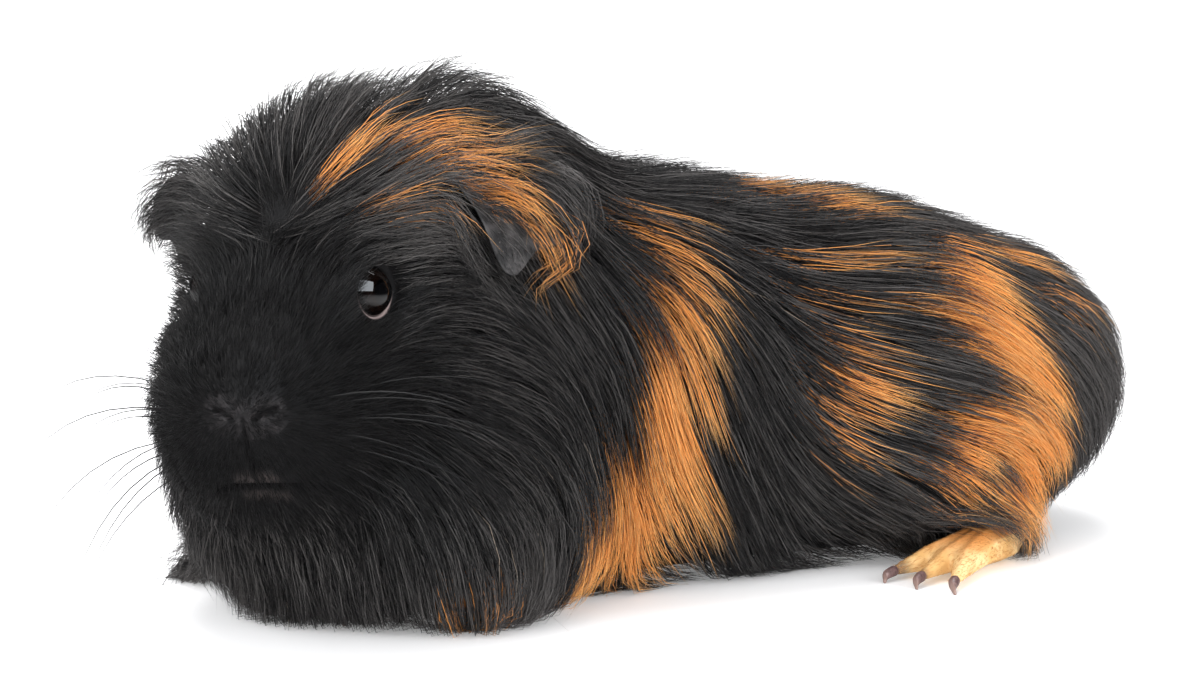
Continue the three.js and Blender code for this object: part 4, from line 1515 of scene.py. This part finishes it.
# ------------------------------------------------------------------ operators
class GP_OT_skin(bpy.types.Operator):
    """One closed skin for the head, body, legs, ears and feet"""

    bl_idname = "guinea_pig.skin"
    bl_label = "Skin"

    def execute(self, context):
        skin = body_under_the_coat()
        eyes = [eye_line(side)[0] for side in SIDES.values()]
        muzzle = on_head(NOSE_ROOTS)
        for muzzle_reach, eye_reach in FINE_SKIN:
            refine(skin, [(muzzle, muzzle_reach), *((eye, eye_reach) for eye in eyes)])
        shape_muzzle(skin)
        shape_lids(skin)
        for material in (skin_material(), ear_material(), foot_material()):
            skin.data.materials.append(material)
        for side in SIDES.values():
            united(skin, ear_shape(side), EAR_SLOT)
        for foot in FEET_NODES:
            united(skin, foot_shape(foot), FOOT_SLOT)
        points = points_of(skin)
        points[:, 2] = np.maximum(points[:, 2], 0)
        set_points(skin, points)
        shade_smooth(skin)
        mark_skin(skin)
        finished(skin, "skin", [*FLESH, "ear_left", "ear_right", *FEET_NODES])
        return {"FINISHED"}


EYE_BULGE = 0.32
BULGE_FADE = (52, 20)  # the bulge ends and is full at these degrees from the eye's axis


class GP_OT_eyes(bpy.types.Operator):
    """Two glossy eyeballs, each with a bulge over a dark iris"""

    bl_idname = "guinea_pig.eyes"
    bl_label = "Eyes"

    def execute(self, context):
        material = eye_material()
        for name, side in SIDES.items():
            middle, axis = eye_line(side)
            eye = ball(middle, (EYE_RADIUS,) * 3, segments=64, rings=40)
            way = unit(points_of(eye) - middle)
            angle = np.degrees(np.arccos(np.clip(way @ axis, -1, 1)))
            bulge = EYE_BULGE * smoothstep(*BULGE_FADE, angle)
            set_points(eye, middle + way * (EYE_RADIUS + bulge)[:, None])
            store(eye.data, "angle", angle)
            shade_smooth(eye)
            finished(eye, "eyeball_" + name, ("eye_" + name,), material)
        return {"FINISHED"}


CLAW_FULLER = 0.2  # how much a claw's end is swollen
CLAW_BLUNT = 0.28  # how much of its length the end is drawn back
CLAW_BEND = 3  # the degree of the curve that a claw's middle follows
CLAW_CLEARANCE = 0.02


class GP_OT_claws(bpy.types.Operator):
    """A rounded claw of horn for each toe"""

    bl_idname = "guinea_pig.claws"
    bl_label = "Claws"

    def execute(self, context):
        material = horn_material()
        for node in sorted(name for name in frame["nodes"] if name.startswith("claw_")):
            claw = copy_of_nodes([node], "shape_" + node)
            apply_modifier(claw, "SUBSURF", levels=2, render_levels=2)
            points = points_of(claw)
            length = points[:, 0] - points[:, 0].min()
            along = length / length.max()
            store(claw.data, "along", along)
            curves = [np.polyfit(along, values, CLAW_BEND) for values in points.T]
            spine = np.stack([np.polyval(curve, along) for curve in curves], 1)
            fuller = 1 + CLAW_FULLER * along
            points = spine + (points - spine) * fuller[:, None]
            points[:, 0] -= CLAW_BLUNT * smoothstep(0.55, 1, along) * length.max()
            points[:, 2] = np.maximum(points[:, 2], CLAW_CLEARANCE)
            set_points(claw, points)
            shade_smooth(claw)
            finished(claw, "horn_" + node, (node,), material)
        return {"FINISHED"}


class GP_OT_coat(bpy.types.Operator):
    """The coat over the whole body, in pieces, combed place by place"""

    bl_idname = "guinea_pig.coat"
    bl_label = "Coat"

    def execute(self, context):
        skin = bpy.data.objects["skin"]
        slots = face_slots(skin)
        haired = (slots == SKIN_SLOT) | ((slots == EAR_SLOT) & ear_backs(skin))
        field = SkinField(skin)
        coat = coat_material("Coat", coat_colours())
        velvet = coat_material("Muzzle coat", coat_colours(), 0.5, 0.02, 0.18)
        seed = context.scene.guinea_pig_coat.seed
        for i, name in enumerate(COAT_PIECES):
            material = velvet if name == "coat_muzzle" else coat
            coat_piece(name, field, skin, haired, material, seed + i)
        return {"FINISHED"}


class GP_OT_short_fur(bpy.types.Operator):
    """Short hair on the ears and the feet, and the whiskers"""

    bl_idname = "guinea_pig.short_fur"
    bl_label = "Ears, feet and whiskers"

    def execute(self, context):
        skin = bpy.data.objects["skin"]
        slots = face_slots(skin)
        fine = coat_material("Fine hair", coat_colours(), 0.45)
        golden = coat_material("Foot hair", FOOT_COLOURS, 0.55)

        def to_ear_tip(points):
            way = np.tile((0.1, 0.55, -0.8), (len(points), 1))
            way[:, 1] *= np.where(in_head(points)[:, 1] > 0, 1.0, -1.0)
            return way @ HEAD_TURN.T

        def to_toes(points):
            way = np.tile((1.0, 0.0, -0.1), (len(points), 1))
            return way + 0.3 * np.sign(points[:, 1:2]) * (0, 1, 0)

        short_fur("ear_hair", skin, slots == EAR_SLOT, to_ear_tip, fine)
        hind = face_values(skin, "center")[:, 0] < 0
        on_top = (slots == FOOT_SLOT) & hind & (face_values(skin, "normal")[:, 2] > -0.5)
        short_fur("foot_hair", skin, on_top, to_toes, golden)
        whiskers(fine)
        return {"FINISHED"}


LOOKS_AT = (0.0196, 0.0111, 0.0536)  # from below the middle of the solids' box, in metres
SENSOR = 36
FLOOR = {"size": 7, "cuts": 80, "flat_to": 1300, "risen_at": 3600, "rise": 1900, "bend": 1.2}
# Each softbox: its place and size in metres, the setting of its power, and whether it shows in
# reflections and lights surfaces. The window, a little blue, is only there to be reflected.
SOFTBOXES = {
    "Key": ((0.95, 0.35, 0.75), (1.0, 0.8), "key_power", True, True),
    "Fill": ((-0.55, 0.95, 0.45), (0.6, 0.6), "fill_power", False, True),
    "Top": ((-0.1, -0.35, 1.0), (0.9, 0.7), "top_power", True, True),
    "Window": ((0.3, 0.75, 0.55), (0.85, 0.75), "window_power", True, False),
}
WINDOW_BLUE = (0.88, 0.94, 1.0)


def set_camera(s, middle):
    """The camera, on a sphere round what it looks at."""
    target = Vector((middle.x + LOOKS_AT[0], middle.y + LOOKS_AT[1], LOOKS_AT[2]))
    out = Vector((
        math.cos(s.azimuth) * math.cos(s.elevation),
        math.sin(s.azimuth) * math.cos(s.elevation),
        math.sin(s.elevation),
    ))
    data = bpy.data.cameras.new("Camera")
    data.lens, data.sensor_width, data.clip_start = s.lens, SENSOR, 0.01
    camera = linked("Camera", data)
    turn = (-out).to_track_quat("-Z", "Y").to_matrix() @ Matrix.Rotation(s.roll, 3, "Z")
    camera.matrix_world = Matrix.Translation(target + out * s.distance) @ turn.to_4x4()
    bpy.context.scene.camera = camera


def floor_material(s):
    """A pale floor that glows as painted light, faintly under the animal to lift its shadows and more
    where it rises, and that a glossy ray sees dark and unlit.
    """
    material, tree, shader = new_material("Floor", 0.9)
    grain = noise_texture(tree, 0.02, 2)
    shade = fading(tree, grain, 0.2, 0.8, s.floor_color, [v * 0.985 for v in s.floor_color])
    away = attribute(tree, "away")
    # Painted light: the floor glows a little even under the animal, lifting the shadows there, and
    # fullest where it rises.
    painted_floor_glow = mixed(tree, ranged(tree, away, 100, 1700, 0.22, s.backdrop), (0, 0, 0), (1, 1, 1))
    glossy = add_node(tree, "ShaderNodeLightPath").outputs["Is Glossy Ray"]
    # A glossy ray sees the floor darkened, fully far off, so the eyes show a painted dark reflection
    # of it.
    dark = maths(tree, "MULTIPLY", ranged(tree, away, 0, 700, 0.55, 1.0), glossy)
    feed(
        tree, shader,
        Base_Color=mixed(tree, dark, shade, (0.01, 0.01, 0.012)),
        Emission_Color=painted_floor_glow,
        Emission_Strength=maths(tree, "SUBTRACT", 1, glossy),
    )
    return material


def lay_floor(s):
    """A wide floor that rises far behind and all round, so that no edge shows."""
    deselect_all()
    cuts = FLOOR["cuts"]
    bpy.ops.mesh.primitive_grid_add(x_subdivisions=cuts, y_subdivisions=cuts, size=FLOOR["size"])
    floor = bpy.context.active_object
    floor.name = "floor"
    points = points_of(floor)
    away = np.linalg.norm(points[:, :2], axis=1)
    risen = smoothstep(FLOOR["flat_to"], FLOOR["risen_at"], away)
    points[:, 2] = FLOOR["rise"] * risen ** FLOOR["bend"]
    set_points(floor, points)
    shade_smooth(floor)
    store(floor.data, "away", away)
    floor.data.materials.append(floor_material(s))


def softbox(name, s, target):
    """A rectangular light that faces the target."""
    place, size, power, reflected, lights_up = SOFTBOXES[name]
    light = bpy.data.lights.new(name, "AREA")
    light.energy = getattr(s, power)
    light.shape = "RECTANGLE"
    light.size, light.size_y = size
    if not lights_up:
        light.color = WINDOW_BLUE
    obj = linked(name, light)
    obj.location = place
    obj.rotation_euler = (target - Vector(place)).to_track_quat("-Z", "Y").to_euler()
    obj.visible_glossy, obj.visible_diffuse = reflected, lights_up


def set_sky(s):
    """Even light from all round, which isn't reflected."""
    world = bpy.data.worlds.new("Sky")
    world.use_nodes = True
    feed(world.node_tree, world.node_tree.nodes["Background"], Color=(1, 1, 1), Strength=s.sky)
    world.cycles_visibility.glossy = False
    bpy.context.scene.world = world
    bpy.context.scene.view_settings.view_transform = "Standard"


class GP_OT_stage(bpy.types.Operator):
    """The pale floor, the soft lights and the camera"""

    bl_idname = "guinea_pig.stage"
    bl_label = "Stage"

    def execute(self, context):
        s = context.scene.guinea_pig_stage
        middle = (CAD_BOX[0] + CAD_BOX[1]) / 2
        set_camera(s, middle)
        lay_floor(s)
        for name in SOFTBOXES:
            softbox(name, s, middle)
        set_sky(s)
        return {"FINISHED"}


class GP_PT_panel(bpy.types.Panel):
    """Lists the settings and the steps that build the guinea pig"""

    bl_idname = "GP_PT_panel"
    bl_label = "Guinea pig"
    bl_space_type = "VIEW_3D"
    bl_region_type = "UI"
    bl_category = "Guinea pig"

    def draw(self, context):
        for settings in (context.scene.guinea_pig_coat, context.scene.guinea_pig_stage):
            for key in settings.__annotations__:
                self.layout.prop(settings, key)
        for step in STEPS:
            self.layout.operator(step.bl_idname)


STEPS = (GP_OT_stage, GP_OT_skin, GP_OT_eyes, GP_OT_claws, GP_OT_coat, GP_OT_short_fur)
CLASSES = (CoatSettings, StageSettings, *STEPS, GP_PT_panel)


def register():
    for cls in CLASSES:
        bpy.utils.register_class(cls)
    bpy.types.Scene.guinea_pig_coat = PointerProperty(type=CoatSettings)
    bpy.types.Scene.guinea_pig_stage = PointerProperty(type=StageSettings)


def unregister():
    del bpy.types.Scene.guinea_pig_stage
    del bpy.types.Scene.guinea_pig_coat
    for cls in reversed(CLASSES):
        bpy.utils.unregister_class(cls)


def main():
    """Builds everything."""
    register()
    bpy.ops.guinea_pig.stage()
    bpy.ops.guinea_pig.skin()
    bpy.ops.guinea_pig.eyes()
    bpy.ops.guinea_pig.claws()
    bpy.ops.guinea_pig.coat()
    bpy.ops.guinea_pig.short_fur()


if __name__ == "__main__":
    main()
